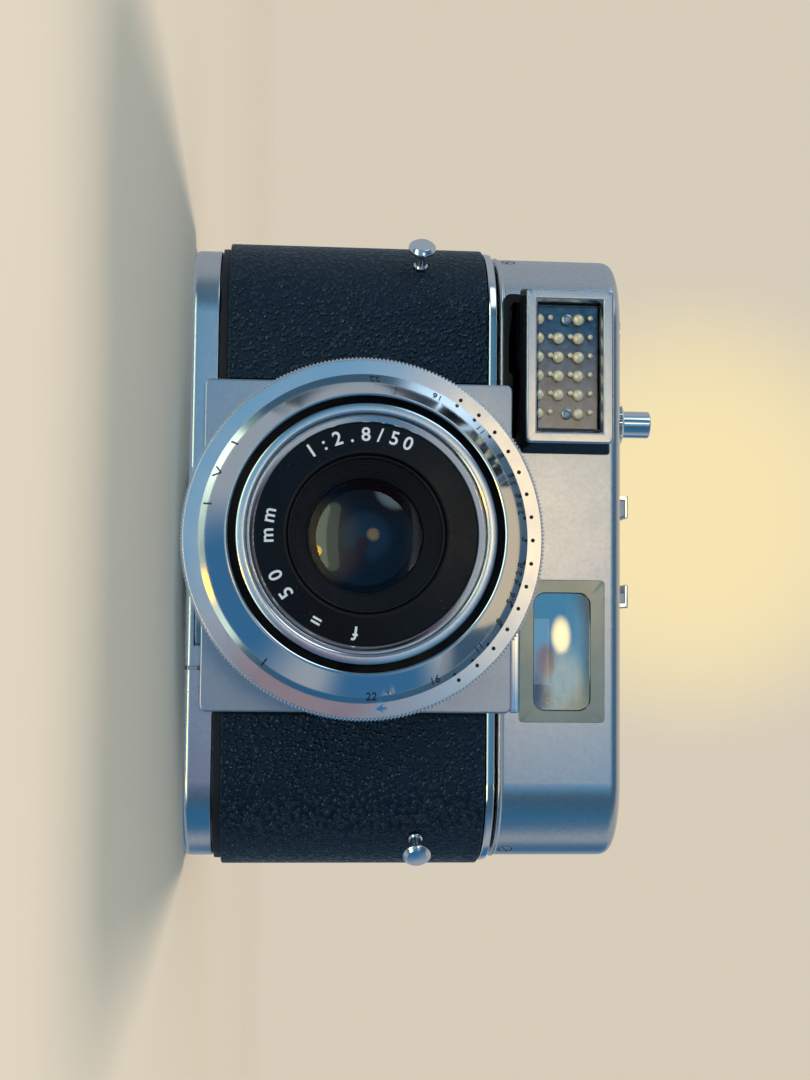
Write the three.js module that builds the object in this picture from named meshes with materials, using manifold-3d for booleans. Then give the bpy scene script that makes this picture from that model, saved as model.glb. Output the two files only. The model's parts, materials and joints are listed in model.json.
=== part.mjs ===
// A 35 mm viewfinder camera with a built-in light meter, as an assembly of separate pieces.
//
// Frame, in millimetres: the origin is the middle of the base's flat underside, below the lens axis.
// +Z is up, the lens looks along -Y, and +X is to the right of a person who looks at the front.
import * as THREE from "three";
import { mergeVertices } from "three/addons/utils/BufferGeometryUtils.js";
import Module from "manifold-3d";

const wasm = await Module();
wasm.setup();

// ---------------------------------------------------------------- driving dimensions
const GAP = 0.3; // between neighbours that touch on the real camera
const ROUND = 48; // sides of a large round piece
const SMALL = 20; // sides of a small round piece

const LENGTH = 116; // over the leather
const DEPTH = 32;
const LEATHER = 0.85; // thickness, with the glue gap behind it
const INSET = 1.5; // the metal top and base stand this far inside the leather

const BASE_TOP = 5;
const LEATHER_Z = [6.6, 53.6];
const CASTING_Z = [BASE_TOP + GAP, 53.7];
const TRIM_Z = [53.9, 55.4];
const HOUSING_Z = [56, 78.7];
const HOUSING_WALL = 1.2;
const HOUSING_EDGE = 2; // rounding of the housing's top edge

const AXIS_Z = 30.3; // lens axis above the base
const PLATE_FRONT = -17.7;
const PLATE_BACK = -15.9;
const PLATE = { half: 29.5, z: [2.8, 58], y: [PLATE_FRONT, PLATE_BACK], bore: 16, corner: 1.2 };
const LENS_FRONT = -48.9;

// Round lens pieces: radii from the lens axis, and y spans measured from the film plane's side.
const SHUTTER = { r: 24.6, wall: 2, y: [-38.2, -17.9], skin: 1.6, bore: 11, lip: 16.2 };
const SHUTTER_NECK = { r: 15.6, end: -9.5 };
const BULKHEAD_Y = [-27.4, -23.6]; // carries the iris in front and the shutter blades behind
const BLADES = { r: 10.7, iris: [-27, -26.6], irisHole: 4.5, shutter: [-24.4, -24] };
const RING_BORE = SHUTTER.r + GAP;
const SPEED_RING = { r: 30.1, y: [-38.1, -27.9], chamfer: 0.4 };
const APERTURE_RING = { r: 28.9, y: [-27.6, -24.4] };
const SYNC = { band: 27.6, tip: 32.4, halfWidth: 3.1, y: [-21.6, -18.4], turn: 27 };
const FLASH = { bore: 1.6, r: 2.7, from: 25.2, floor: 26.6, to: 28.6, y: -21.3, turn: 60 };
const CONE = { r: [27.1, 22.4], bore: 22, y: [-38.5, LENS_FRONT + 0.4] }; // back and front
const BARREL = { r: 20.9, rim: 19.3, bore: 16.1, back: -38.6, shoulder: -46.4 };
const CELL = { r: 15.8, mouth: 12.7, bore: 9.5, y: [-46.9, -38.7], throat: -44 };
const NAME_RING = { r: [12.8, 18.7], front: -47.8, back: -46.6, seat: 15.9 };
const FRONT_GLASS = { r: 9.2, y: [-44.5, -40.5] };
const REAR_CELL = { r: [8.3, 10.7], y: [-20, -10] };

const CASSETTE = { x: 41.5, y: 0, r: 13.2 };
const TAKE_UP = { x: -41.5, y: 0, r: 12.2 };
const SPOOL = { flange: 10.5, core: 5, shaft: 2.5, lower: [8.4, 9.4], upper: [49.6, 50.8], top: 55 };
const SPROCKET = { x: -26, y: 1, r: 5.7, z: [7.3, 51.6], rows: [15.2, 45.4], teeth: 8 };
const GATE = { halfWidth: 18, halfHeight: 12, back: 9.4 };
const RAILS = { wall: 1.6, z: [10, 50.5] }; // the block round the film gate
const DOOR_SPLIT = 6; // the casting ends here and the door begins just behind
const PRESSURE_PLATE = { x: [-31, 24], z: [13, 47.6], y: [10.1, 11.1] };
const PRESSURE_SPRING = { x: [-20, 13], z: [26, 34], y: 11.4, bow: 3.8, thick: 0.4 };
const DOOR_HINGE = { x: -57.4, y: 6, r: 1.4, bore: 0.75, ends: [20, 40] };
const FLAP_HINGE = { x: 23.4, z: 1.2, r: 1.1, bore: 0.7, half: 9.4 };
const FLAP_EDGE = 22.3;
const BASE_EDGE = 21.5;

const RELEASE = { x: -24.5, y: -6, r: 2.5, top: 85.6 };
const COLLAR = { r: 4.1, z: [78.9, 80.3] };
const LEVER = { x: -43, y: 2.5, r: 7, z: 79, thick: 1.6, shaft: 2.5, cap: 3.6 };
const REWIND = { x: 42, y: 0, r: 9.2, bottom: 74.4, top: 79.3, fork: 2.4, sleeve: [2.7, 4.4] };
const SHOE = { x: -0.6, y: 4.5, half: 10.7, length: 17, z: 78.9, wall: 1, lip: 4.4 };
const SHOE_SLOT = [0.6, 2.6]; // height of the slot for the accessory's foot
const SHOE_TOP = 3.3;
const SHOE_SPRING = { half: 7.4, y: [-2, 11], z: [79.8, 80.2] };
const METER = { x: [-46.8, -18.8], z: [56.6, 75.9], front: -19.4, frameFoot: 60 };
const METER_HOLE = { x: [-44.6, -21.4], z: [61.9, 74.1] };
const METER_WINDOW_Y = [-18.9, -18.1];
const SELENIUM_Y = [-17.2, -16.2];
const MOVEMENT = { x: -33, y: 4, r: 6, z: [57, 69] };
const NEEDLE = { staff: 0.8, z: [69.4, 73.8], to: -19.5, halfWidth: 0.3, thick: 0.5 };
const FINDER = { x: [5.4, 31.2], z: [59.8, 75.5] };
const FINDER_HOLE = { x: [7.6, 29.2], z: [62.3, 73] };
const FASCIA_Y = [-14.7, -13.3];
const FINDER_LENS_Y = [-15, -13.6];
const TUBE = { wall: 0.9, y: [-12.7, 12.2] };
const EYEPIECE = { x: [11, 26], z: [61.5, 73.5], rim: 2.2, y: [12.8, 15.8], lensY: [13.4, 14.8] };
const HOUSING_FRONT_WALL = [-DEPTH, -10];
const SCALE_WINDOW = { x: [-29.5, -17.5], y: [1.5, 8.5], z: [77.5, 78.6] };
const SCALE_PLATE_Z = [71.8, 72.4];
const END_SCREW = { angle: THREE.MathUtils.degToRad(28), z: 58.6, hole: 1.3 };
const TRIPOD = { x: -9, y: 0, r: 5.8, bore: 3.25 };
const COUNTER = { x: 12.9, y: -7.4, r: 8.4, z: [1.7, 3.4] };
const LATCH = { x: 46, y: 0, r: 4.3, spindle: 1.2, boss: 5.7 };
const LUG_ANGLE = THREE.MathUtils.degToRad(52); // from the X axis towards the front
const LUG_Z = 41.5;

// ---------------------------------------------------------------- materials
function finish(color, roughness, metalness) {
  return new THREE.MeshStandardMaterial({ color, roughness, metalness });
}
const satinChrome = () => finish(0xc4c5c6, 0.42, 1);
const brightChrome = () => finish(0xdadbdc, 0.14, 1);
const brushed = () => finish(0xcfd0d1, 0.3, 1);
const blackPaint = () => finish(0x121213, 0.45, 0.1);
const leather = () => finish(0x17181b, 0.55, 0);
const steel = () => finish(0x9b9c9e, 0.35, 1);
const glass = () => finish(0xaab4c0, 0.05, 0);
const alloy = () => finish(0x8e9092, 0.55, 0.9);

// ---------------------------------------------------------------- solids
// A closed geometry becomes a solid that can be joined and cut.
function solid(geometry) {
  const bare = geometry.clone();
  bare.deleteAttribute("normal");
  bare.deleteAttribute("uv");
  const merged = mergeVertices(bare, 1e-4);
  const points = merged.attributes.position.array;
  const corner = (i) => new THREE.Vector3().fromArray(points, 3 * i);
  const triangles = [];
  let volume = 0;
  for (let i = 0; i < merged.index.count; i += 3) {
    const [a, b, c] = [0, 1, 2].map((k) => merged.index.getX(i + k));
    if (a === b || b === c || a === c) continue;
    triangles.push([a, b, c]);
    volume += corner(a).dot(corner(b).cross(corner(c)));
  }
  const facing = volume < 0 ? triangles.map(([a, b, c]) => [a, c, b]) : triangles;
  const mesh = new wasm.Mesh({
    numProp: 3,
    vertProperties: Float32Array.from(points),
    triVerts: Uint32Array.from(facing.flat()),
  });
  return new wasm.Manifold(mesh);
}

function join(first, ...rest) {
  return rest.reduce((whole, piece) => whole.add(piece), first);
}

function cut(first, ...rest) {
  return rest.reduce((whole, piece) => whole.subtract(piece), first);
}

function block([x0, x1], [y0, y1], [z0, z1]) {
  const box = new THREE.BoxGeometry(x1 - x0, y1 - y0, z1 - z0);
  return solid(box.translate((x0 + x1) / 2, (y0 + y1) / 2, (z0 + z1) / 2));
}

// Turned pieces. A profile is a closed list of [radius, height] points.
function turned(profile, sides) {
  const closed = [...profile, profile[0]].map(([r, h]) => new THREE.Vector2(r, h));
  return new THREE.LatheGeometry(closed, sides);
}
const aboutY = (profile, sides = ROUND) => solid(turned(profile, sides));
const aboutZ = (x, y, profile, sides = SMALL) =>
  solid(turned(profile, sides).rotateX(Math.PI / 2).translate(x, y, 0));

const rod = (r, [h0, h1]) => [[0, h0], [r, h0], [r, h1], [0, h1]];
const ring = (inner, outer, [h0, h1]) => [[inner, h0], [outer, h0], [outer, h1], [inner, h1]];

// The camera's plan: a straight front and back with half-round ends.
function plan(inset) {
  const r = DEPTH / 2 - inset;
  const straight = (LENGTH - DEPTH) / 2;
  const shape = new THREE.Shape();
  shape.moveTo(-straight, -r);
  shape.lineTo(straight, -r);
  shape.absarc(straight, 0, r, -Math.PI / 2, Math.PI / 2);
  shape.lineTo(-straight, r);
  shape.absarc(-straight, 0, r, Math.PI / 2, (3 * Math.PI) / 2);
  return shape;
}

function upright(shape, [z0, z1], edge = 0) {
  const geometry = new THREE.ExtrudeGeometry(shape, {
    depth: z1 - z0 - edge,
    bevelEnabled: edge > 0,
    bevelSize: edge,
    bevelOffset: -edge,
    bevelThickness: edge,
    bevelSegments: 3,
    curveSegments: 9,
  });
  const whole = solid(geometry.translate(0, 0, z0));
  const lowerBevel = block([-LENGTH, LENGTH], [-DEPTH, DEPTH], [z0 - 2 * edge, z0]);
  return edge > 0 ? cut(whole, lowerBevel) : whole;
}

// A shape drawn in X and Z, extruded from y0 to y1.
function across(shape, [y0, y1]) {
  const flat = { depth: y1 - y0, bevelEnabled: false, curveSegments: 6 };
  const geometry = new THREE.ExtrudeGeometry(shape, flat);
  return solid(geometry.rotateX(Math.PI / 2).translate(0, y1, 0));
}

function rounded([x0, x1], [z0, z1], r) {
  const shape = new THREE.Shape();
  shape.moveTo(x0 + r, z0);
  shape.lineTo(x1 - r, z0);
  shape.absarc(x1 - r, z0 + r, r, -Math.PI / 2, 0);
  shape.lineTo(x1, z1 - r);
  shape.absarc(x1 - r, z1 - r, r, 0, Math.PI / 2);
  shape.lineTo(x0 + r, z1);
  shape.absarc(x0 + r, z1 - r, r, Math.PI / 2, Math.PI);
  shape.lineTo(x0, z0 + r);
  shape.absarc(x0 + r, z0 + r, r, Math.PI, 1.5 * Math.PI);
  return shape;
}

const shrink = ([a, b], by) => [a + by, b - by];

// Stands a turned piece on a half-round end of the plan (side -1 or 1), facing out at an angle from the
// X axis towards the front, with its own zero height at that radius from the end's centre.
function onEnd(geometry, side, angle, radius, z) {
  const direction = new THREE.Vector3(side * Math.cos(angle), -Math.sin(angle), 0);
  const turn = new THREE.Quaternion().setFromUnitVectors(new THREE.Vector3(0, 1, 0), direction);
  const centre = (side * (LENGTH - DEPTH)) / 2;
  const foot = direction.clone().multiplyScalar(radius);
  return geometry.applyQuaternion(turn).translate(centre + foot.x, foot.y, z);
}

// ---------------------------------------------------------------- scene
const camera = new THREE.Group();
const lens = new THREE.Group(); // its origin is on the lens axis
lens.position.set(0, 0, AXIS_Z);
camera.add(lens);

function put(name, shape, material, group = camera) {
  const { vertProperties, triVerts } = shape.getMesh();
  const geometry = new THREE.BufferGeometry();
  geometry.setAttribute("position", new THREE.BufferAttribute(vertProperties, 3));
  geometry.setIndex(new THREE.BufferAttribute(triVerts, 1));
  const mesh = new THREE.Mesh(geometry, material);
  mesh.name = name;
  group.add(mesh);
  return mesh;
}

// ---------------------------------------------------------------- body casting and film transport
function bodyCasting() {
  const chambers = shrink(CASTING_Z, 1.5);
  const outer = upright(plan(LEATHER + 0.15), CASTING_Z);
  const frontHalf = cut(outer, block([-LENGTH, LENGTH], [DOOR_SPLIT, DEPTH], [0, HOUSING_Z[1]]));
  const gateSide = GATE.halfWidth + RAILS.wall;
  const gateBlock = block([-gateSide, gateSide], [0, GATE.back], RAILS.z);
  const mountPad = block([-27, 27], [-15.6, -14], [8, 52]);
  const hinge = hingeKnuckle([LEATHER_Z[0] + 0.4, DOOR_HINGE.ends[0]], -1)
    .add(hingeKnuckle([DOOR_HINGE.ends[1], LEATHER_Z[1] - 0.4], -1));
  const well = ({ x, y, r }, span) =>
    aboutZ(x, y, rod(r, span), 36).add(block([x - r, x + r], [y, DEPTH], span));
  const sprocketWell = { ...SPROCKET, r: SPROCKET.r + 0.7 };
  return cut(
    join(frontHalf, gateBlock, mountPad, hinge),
    well(CASSETTE, [0, chambers[1]]),
    well(TAKE_UP, chambers),
    well(sprocketWell, chambers),
    block(
      [-GATE.halfWidth, GATE.halfWidth],
      [-11, DEPTH],
      [AXIS_Z - GATE.halfHeight, AXIS_Z + GATE.halfHeight],
    ),
    aboutY(rod(16.3, [-20, -9])).translate([0, 0, AXIS_Z]),
    aboutZ(REWIND.x, REWIND.y, rod(3.2, [40, 60])),
    aboutZ(TAKE_UP.x, TAKE_UP.y, rod(2.9, [40, 60])),
    aboutZ(DOOR_HINGE.x, DOOR_HINGE.y, rod(DOOR_HINGE.bore, [0, 60]), 12),
    aboutZ(DOOR_HINGE.x, DOOR_HINGE.y, rod(DOOR_HINGE.r + GAP, DOOR_HINGE.ends)),
  );
}

// One barrel of the door's hinge, with the web that ties it to the casting (side -1) or the door (side 1).
function hingeKnuckle(span, side) {
  const barrel = aboutZ(DOOR_HINGE.x, DOOR_HINGE.y, rod(DOOR_HINGE.r, span));
  const reach = side < 0 ? [DOOR_SPLIT - 2.6, DOOR_SPLIT - 0.4] : [DOOR_SPLIT + GAP, DOOR_SPLIT + 1.8];
  const inner = side < 0 ? -54 : -54.6;
  return barrel.add(block([DOOR_HINGE.x, inner], reach, span));
}

function backDoor() {
  const [bottom, top] = LEATHER_Z;
  const shell = cut(
    upright(plan(LEATHER + 0.15), [bottom, top]),
    upright(plan(LEATHER + 1.35), [bottom + 1.2, top - 1.2]),
    block([-LENGTH, LENGTH], [-DEPTH, DOOR_SPLIT + GAP], [0, 60]),
  );
  const ownSpan = [DOOR_HINGE.ends[0] + GAP, DOOR_HINGE.ends[1] - GAP];
  const clearance = aboutZ(DOOR_HINGE.x, DOOR_HINGE.y, rod(DOOR_HINGE.r + GAP, [0, 60]));
  return cut(
    cut(shell, clearance).add(hingeKnuckle(ownSpan, 1)),
    aboutZ(DOOR_HINGE.x, DOOR_HINGE.y, rod(DOOR_HINGE.bore, [0, 60]), 12),
  );
}

// The leather is one skin round the body, trimmed to each panel.
function leatherPanel([x0, x1], [y0, y1]) {
  const skin = cut(upright(plan(0), LEATHER_Z), upright(plan(LEATHER), shrink(LEATHER_Z, -1)));
  return skin.intersect(block([x0, x1], [y0, y1], [0, 60]));
}

put("body_casting", bodyCasting(), alloy());
put("back_door", backDoor(), satinChrome());
put("door_leather", leatherPanel([-54.8, LENGTH], [DOOR_SPLIT + 0.4, DEPTH]), leather());
put("leather_left", leatherPanel([-LENGTH, -30], [-DEPTH, DOOR_SPLIT - 2.8]), leather());
put("leather_right", leatherPanel([30, LENGTH], [-DEPTH, DOOR_SPLIT - 0.3]), leather());
put("door_hinge_pin", aboutZ(DOOR_HINGE.x, DOOR_HINGE.y, rod(0.6, [7.2, 53]), 12), steel());
put("pressure_plate", across(rounded(PRESSURE_PLATE.x, PRESSURE_PLATE.z, 3), PRESSURE_PLATE.y), blackPaint());

function pressureSpring() {
  const { x: [x0, x1], z, y, bow, thick } = PRESSURE_SPRING;
  const middle = (x0 + x1) / 2;
  const leaf = new THREE.Shape();
  leaf.moveTo(x0, y);
  leaf.quadraticCurveTo(middle, y + bow, x1, y);
  leaf.lineTo(x1, y + thick);
  leaf.quadraticCurveTo(middle, y + bow + thick, x0, y + thick);
  leaf.closePath();
  return upright(leaf, z);
}
put("pressure_spring", pressureSpring(), steel());

const { flange, core, shaft, lower, upper, top: spoolTop } = SPOOL;
const spoolProfile = [
  [0, lower[0]], [flange, lower[0]], [flange, lower[1]], [core, lower[1]], [core, upper[0]],
  [flange, upper[0]], [flange, upper[1]], [shaft, upper[1]], [shaft, spoolTop], [0, spoolTop],
];
put("takeup_spool", aboutZ(TAKE_UP.x, TAKE_UP.y, spoolProfile, 24), blackPaint());

function sprocketDrum() {
  const { x, y, r, z, rows, teeth } = SPROCKET;
  const tooth = block([r / 2, r + 0.4], [-0.5, 0.5], [-0.7, 0.7]);
  let drum = aboutZ(0, 0, rod(r - 0.9, z), 24);
  for (const row of rows) {
    drum = drum.add(aboutZ(0, 0, rod(r - 0.4, [row - 2, row + 2]), 24));
    for (let i = 0; i < teeth; i++) {
      drum = drum.add(tooth.rotate([0, 0, (360 * i) / teeth]).translate([0, 0, row]));
    }
  }
  return drum.translate([x, y, 0]);
}
put("sprocket_drum", sprocketDrum(), steel());

// ---------------------------------------------------------------- base
function basePan() {
  const whole = upright(plan(INSET), [-BASE_TOP, 0], 1.2).mirror([0, 0, 1]);
  const hollow = upright(plan(INSET + 1.2), [1.2, BASE_TOP + 1]);
  return cut(whole, hollow);
}
const acrossHinge = (r, [y0, y1]) =>
  aboutY(rod(r, [y0, y1]), 16).translate([FLAP_HINGE.x, 0, FLAP_HINGE.z]);

function basePlate() {
  const lugs = [-1, 1].map((side) => {
    const span = [side * (FLAP_HINGE.half + 0.3), side * (FLAP_HINGE.half + 2)].sort((a, b) => a - b);
    return block([BASE_EDGE - 2, FLAP_HINGE.x], span, [0.2, 2.2]).add(acrossHinge(1, span));
  });
  return cut(
    join(cut(basePan(), block([BASE_EDGE, LENGTH], [-DEPTH, DEPTH], [-1, 9])), ...lugs),
    acrossHinge(FLAP_HINGE.bore, [-14, 14]),
    aboutZ(TRIPOD.x, TRIPOD.y, rod(TRIPOD.r + 0.25, [-1, 3])),
    aboutZ(COUNTER.x, COUNTER.y, rod(COUNTER.r + 0.35, [COUNTER.z[0] - 0.25, COUNTER.z[1] + 0.3]), 36),
  );
}

function bottomFlap() {
  const { half, bore, r } = FLAP_HINGE;
  const whole = basePan().intersect(block([FLAP_EDGE, LENGTH], [-DEPTH, DEPTH], [-1, 9]));
  const stiffener = block([FLAP_EDGE, FLAP_EDGE + 3], [-half - 0.5, half + 0.5], [0.1, 1.35]);
  const boss = aboutZ(LATCH.x, LATCH.y, rod(LATCH.boss, [0.6, 2.8]));
  const lugRoom = [-1, 1].map((side) => {
    const span = [side * half, side * (half + 2.3)].sort((a, b) => a - b);
    return block([FLAP_EDGE - 1, FLAP_HINGE.x + 1.4], span, [-1, 3.2]);
  });
  return cut(
    join(whole, stiffener, acrossHinge(r, [-half - 0.5, half + 0.5]), boss),
    ...lugRoom,
    acrossHinge(bore, [-14, 14]),
    aboutZ(LATCH.x, LATCH.y, rod(LATCH.r + 0.3, [-1, 1.7])),
    aboutZ(LATCH.x, LATCH.y, rod(LATCH.spindle + GAP, [-1, 4])),
  );
}

function latchKey() {
  const disc = aboutZ(LATCH.x, LATCH.y, rod(LATCH.r, [0.3, 1.4]));
  const spindle = aboutZ(LATCH.x, LATCH.y, rod(LATCH.spindle, [1, 4]));
  const bolt = block([LATCH.x - 1.2, LATCH.x + 7], [-1.2, 1.2], [3.2, 4.2]);
  const fingerCuts = [-1, 1].map((side) =>
    block([LATCH.x - 5, LATCH.x + 5], side < 0 ? [-3.2, -0.7] : [0.7, 3.2], [0, 0.9]));
  return cut(join(disc, spindle, bolt), ...fingerCuts);
}

put("base_plate", basePlate(), satinChrome());
put("bottom_flap", bottomFlap(), satinChrome());
put("flap_hinge_pin", acrossHinge(0.55, [-11.2, 11.2]), steel());
put("flap_latch_key", latchKey(), brightChrome());
put("tripod_bush", aboutZ(TRIPOD.x, TRIPOD.y, ring(TRIPOD.bore, TRIPOD.r, [0, BASE_TOP]), 24), steel());
put("frame_counter_wheel", aboutZ(COUNTER.x, COUNTER.y, rod(COUNTER.r, COUNTER.z), 36), brushed());

// ---------------------------------------------------------------- top housing
function topHousing() {
  const [bottom, top] = HOUSING_Z;
  const screwHoles = [-1, 1].map((side) => screwPiece(rod(END_SCREW.hole, [-3, 3]), side));
  return cut(
    upright(plan(INSET), HOUSING_Z, HOUSING_EDGE),
    upright(plan(INSET + HOUSING_WALL), [bottom - 1, top - HOUSING_WALL]),
    aboutZ(RELEASE.x, RELEASE.y, rod(RELEASE.r + 0.3, [70, 90])),
    aboutZ(REWIND.x, REWIND.y, rod(REWIND.r + 0.4, [70, 90]), 36),
    aboutZ(LEVER.x, LEVER.y, rod(2.9, [70, 90])),
    block(shrink(SCALE_WINDOW.x, -GAP), shrink(SCALE_WINDOW.y, -GAP), [70, 90]),
    block(shrink(METER.x, 1.2), HOUSING_FRONT_WALL, shrink([METER.frameFoot, METER.z[1]], 0.6)),
    block(shrink(FINDER.x, -GAP), HOUSING_FRONT_WALL, shrink(FINDER.z, -GAP)),
    block(shrink(EYEPIECE.x, -GAP), [10, DEPTH], shrink(EYEPIECE.z, -GAP)),
    ...screwHoles,
  );
}
put("top_housing", topHousing(), satinChrome());

function trimStrip() {
  const outer = upright(plan(0.5), TRIM_Z, 0.9);
  const hollow = upright(plan(2.6), [50, 60]);
  const besidePlate = block([-30, 30], [-DEPTH, PLATE_BACK + GAP], [50, 60]);
  return cut(outer, hollow, besidePlate);
}
put("trim_strip", trimStrip(), brightChrome());

// The meter's black case stands out of the housing's front and follows its curved end.
function meterHousing() {
  const foot = block(METER.x, [PLATE_BACK + GAP, -10], METER.z);
  const body = block(METER.x, [METER.front, -10], [METER.frameFoot, METER.z[1]]);
  const outside = cut(join(foot, body), upright(plan(INSET - GAP), [50, 90]));
  const neckZ = shrink([METER.frameFoot, METER.z[1]], 0.9);
  const neck = block(shrink(METER.x, 1.5), [METER.front + 1, -11.6], neckZ);
  return cut(join(outside, neck), block(METER_HOLE.x, [-30, -13], METER_HOLE.z));
}
put("meter_housing", meterHousing(), blackPaint());

const bezelZ = [METER.frameFoot, METER.z[1]];
const bezelY = [METER.front - 1.2, METER.front - 0.1];
const inMeterHole = (play, y) => block(shrink(METER_HOLE.x, play), y, shrink(METER_HOLE.z, play));
const bezel = cut(block(METER.x, bezelY, bezelZ), inMeterHole(0, [-DEPTH, 0]));
put("meter_bezel", bezel, brushed());
put("meter_window", inMeterHole(0.25, METER_WINDOW_Y), glass());
put("selenium_cell", inMeterHole(0.5, SELENIUM_Y), blackPaint());
put("galvanometer", aboutZ(MOVEMENT.x, MOVEMENT.y, rod(MOVEMENT.r, MOVEMENT.z)), steel());

function meterNeedle() {
  const { staff, z, to, halfWidth, thick } = NEEDLE;
  const top = z[1] - 0.1;
  const { x, y } = MOVEMENT;
  const pointer = block([x, to], [y - halfWidth, y + halfWidth], [top - thick, top]);
  return aboutZ(x, y, rod(staff, z), 12).add(pointer);
}
put("meter_needle", meterNeedle(), blackPaint());

function scalePlate() {
  const card = block(shrink(SCALE_WINDOW.x, -1), shrink(SCALE_WINDOW.y, -1), SCALE_PLATE_Z);
  return cut(card, aboutZ(MOVEMENT.x, MOVEMENT.y, rod(2, [60, 90])));
}
put("meter_scale_plate", scalePlate(), finish(0xe8e6dc, 0.6, 0));
put("meter_scale_window", block(SCALE_WINDOW.x, SCALE_WINDOW.y, SCALE_WINDOW.z), glass());

const fascia = cut(
  across(rounded(FINDER.x, FINDER.z, 0.8), FASCIA_Y),
  across(rounded(FINDER_HOLE.x, FINDER_HOLE.z, 1.6), [-DEPTH, 0]),
);
put("finder_fascia", fascia, brushed());
const finderLens = rounded(shrink(FINDER_HOLE.x, 0.25), shrink(FINDER_HOLE.z, 0.25), 1.4);
put("finder_front_lens", across(finderLens, FINDER_LENS_Y), glass());
const finderTube = cut(
  block(shrink(FINDER_HOLE.x, -TUBE.wall), TUBE.y, shrink(FINDER_HOLE.z, -TUBE.wall)),
  block(FINDER_HOLE.x, [-DEPTH, DEPTH], FINDER_HOLE.z),
);
put("finder_tube", finderTube, blackPaint());
const eyeHole = { x: shrink(EYEPIECE.x, EYEPIECE.rim), z: shrink(EYEPIECE.z, EYEPIECE.rim) };
const eyeFrame = cut(
  across(rounded(EYEPIECE.x, EYEPIECE.z, 2), EYEPIECE.y),
  across(rounded(eyeHole.x, eyeHole.z, 1), [0, DEPTH]),
);
put("eyepiece_frame", eyeFrame, blackPaint());
const eyeLens = rounded(shrink(eyeHole.x, 0.2), shrink(eyeHole.z, 0.2), 0.9);
put("eyepiece_lens", across(eyeLens, EYEPIECE.lensY), glass());

// ---------------------------------------------------------------- controls on the top
function accessoryShoe() {
  const { x, y, half, length, z, wall, lip } = SHOE;
  const [floor, ceiling] = SHOE_SLOT;
  const shape = new THREE.Shape();
  const rail = [[0, SHOE_TOP], [lip, SHOE_TOP], [lip, ceiling], [wall, ceiling]];
  const right = [[half, 0], ...rail.map(([inward, h]) => [half - inward, h]), [half - wall, floor]];
  const outline = [...right, ...right.map(([dx, dz]) => [-dx, dz]).reverse()];
  shape.setFromPoints(outline.map(([dx, dz]) => new THREE.Vector2(x + dx, z + dz)));
  return across(shape, [y - length / 2, y + length / 2]);
}
put("accessory_shoe", accessoryShoe(), brightChrome());
const springX = [SHOE.x - SHOE_SPRING.half, SHOE.x + SHOE_SPRING.half];
const shoeSpring = block(springX, SHOE_SPRING.y, SHOE_SPRING.z);
put("shoe_spring", shoeSpring, steel());
const releaseCollar = ring(RELEASE.r + 0.25, COLLAR.r, COLLAR.z);
put("release_collar", aboutZ(RELEASE.x, RELEASE.y, releaseCollar), brightChrome());

const buttonProfile = [
  [0, 70], [1.6, 70], [1.6, 76.5], [RELEASE.r, 76.5], [RELEASE.r, RELEASE.top - 0.4],
  [RELEASE.r - 0.5, RELEASE.top], [1, RELEASE.top], [0.8, RELEASE.top - 0.9], [0, RELEASE.top - 0.9],
];
put("release_button", aboutZ(RELEASE.x, RELEASE.y, buttonProfile), brightChrome());

function advanceLever() {
  const { x, y, r, z, thick } = LEVER;
  const arm = new THREE.Shape();
  arm.moveTo(x - r, y);
  arm.quadraticCurveTo(x - 11.5, y + 6, x - 13.6, y + 12.4);
  arm.quadraticCurveTo(x - 13.2, y + 15.4, x - 10.4, y + 14.4);
  arm.quadraticCurveTo(x - 4, y + 10.4, x + 1, y + r);
  arm.lineTo(x, y);
  arm.closePath();
  const disc = aboutZ(x, y, rod(r, [z, z + thick]), 32);
  const tip = aboutZ(x - 11.6, y + 12.8, rod(1.9, [z - thick, z + 2.6]), 16);
  return join(disc, upright(arm, [z, z + thick]), tip);
}
put("advance_lever", advanceLever(), brightChrome());
put("advance_shaft", aboutZ(LEVER.x, LEVER.y, rod(LEVER.shaft, [57, LEVER.z - 0.1])), steel());
const capFoot = LEVER.z + LEVER.thick + 0.1;
put("advance_cap", aboutZ(LEVER.x, LEVER.y, rod(LEVER.cap, [capFoot, capFoot + 0.5])), brightChrome());

const knobProfile = [
  [0, REWIND.bottom], [REWIND.r, REWIND.bottom], [REWIND.r, REWIND.top - 0.5],
  [REWIND.r - 0.5, REWIND.top], [0, REWIND.top],
];
put("rewind_knob", aboutZ(REWIND.x, REWIND.y, knobProfile, 36), satinChrome());
const fork = cut(
  aboutZ(REWIND.x, REWIND.y, rod(REWIND.fork, [46, REWIND.bottom - 0.1])),
  block([REWIND.x - 3, REWIND.x + 3], [REWIND.y - 0.8, REWIND.y + 0.8], [45, 50]),
);
put("rewind_fork", fork, steel());
const sleeveProfile = ring(...REWIND.sleeve, [56.5, REWIND.bottom - 0.4]);
put("rewind_sleeve", aboutZ(REWIND.x, REWIND.y, sleeveProfile), steel());

// ---------------------------------------------------------------- lugs and screws
function strapLug(side) {
  const profile = [[0, 0.3], [1, 0.3], [0.8, 2.5], [2.5, 4.1], [2.5, 4.6], [1.8, 5.2], [0, 5.3]];
  return solid(onEnd(turned(profile, 20), side, LUG_ANGLE, DEPTH / 2 - 0.15, LUG_Z));
}
put("strap_lug_left", strapLug(-1), brightChrome());
put("strap_lug_right", strapLug(1), brightChrome());

function screwPiece(profile, side) {
  return solid(onEnd(turned(profile, 14), side, END_SCREW.angle, DEPTH / 2 - INSET, END_SCREW.z));
}
const screwProfile = [[0, -3], [0.8, -3], [0.8, -0.7], [1.1, -0.7], [1.1, 0], [0, 0.1]];
put("housing_screw_left", screwPiece(screwProfile, -1), steel());
put("housing_screw_right", screwPiece(screwProfile, 1), steel());

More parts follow.
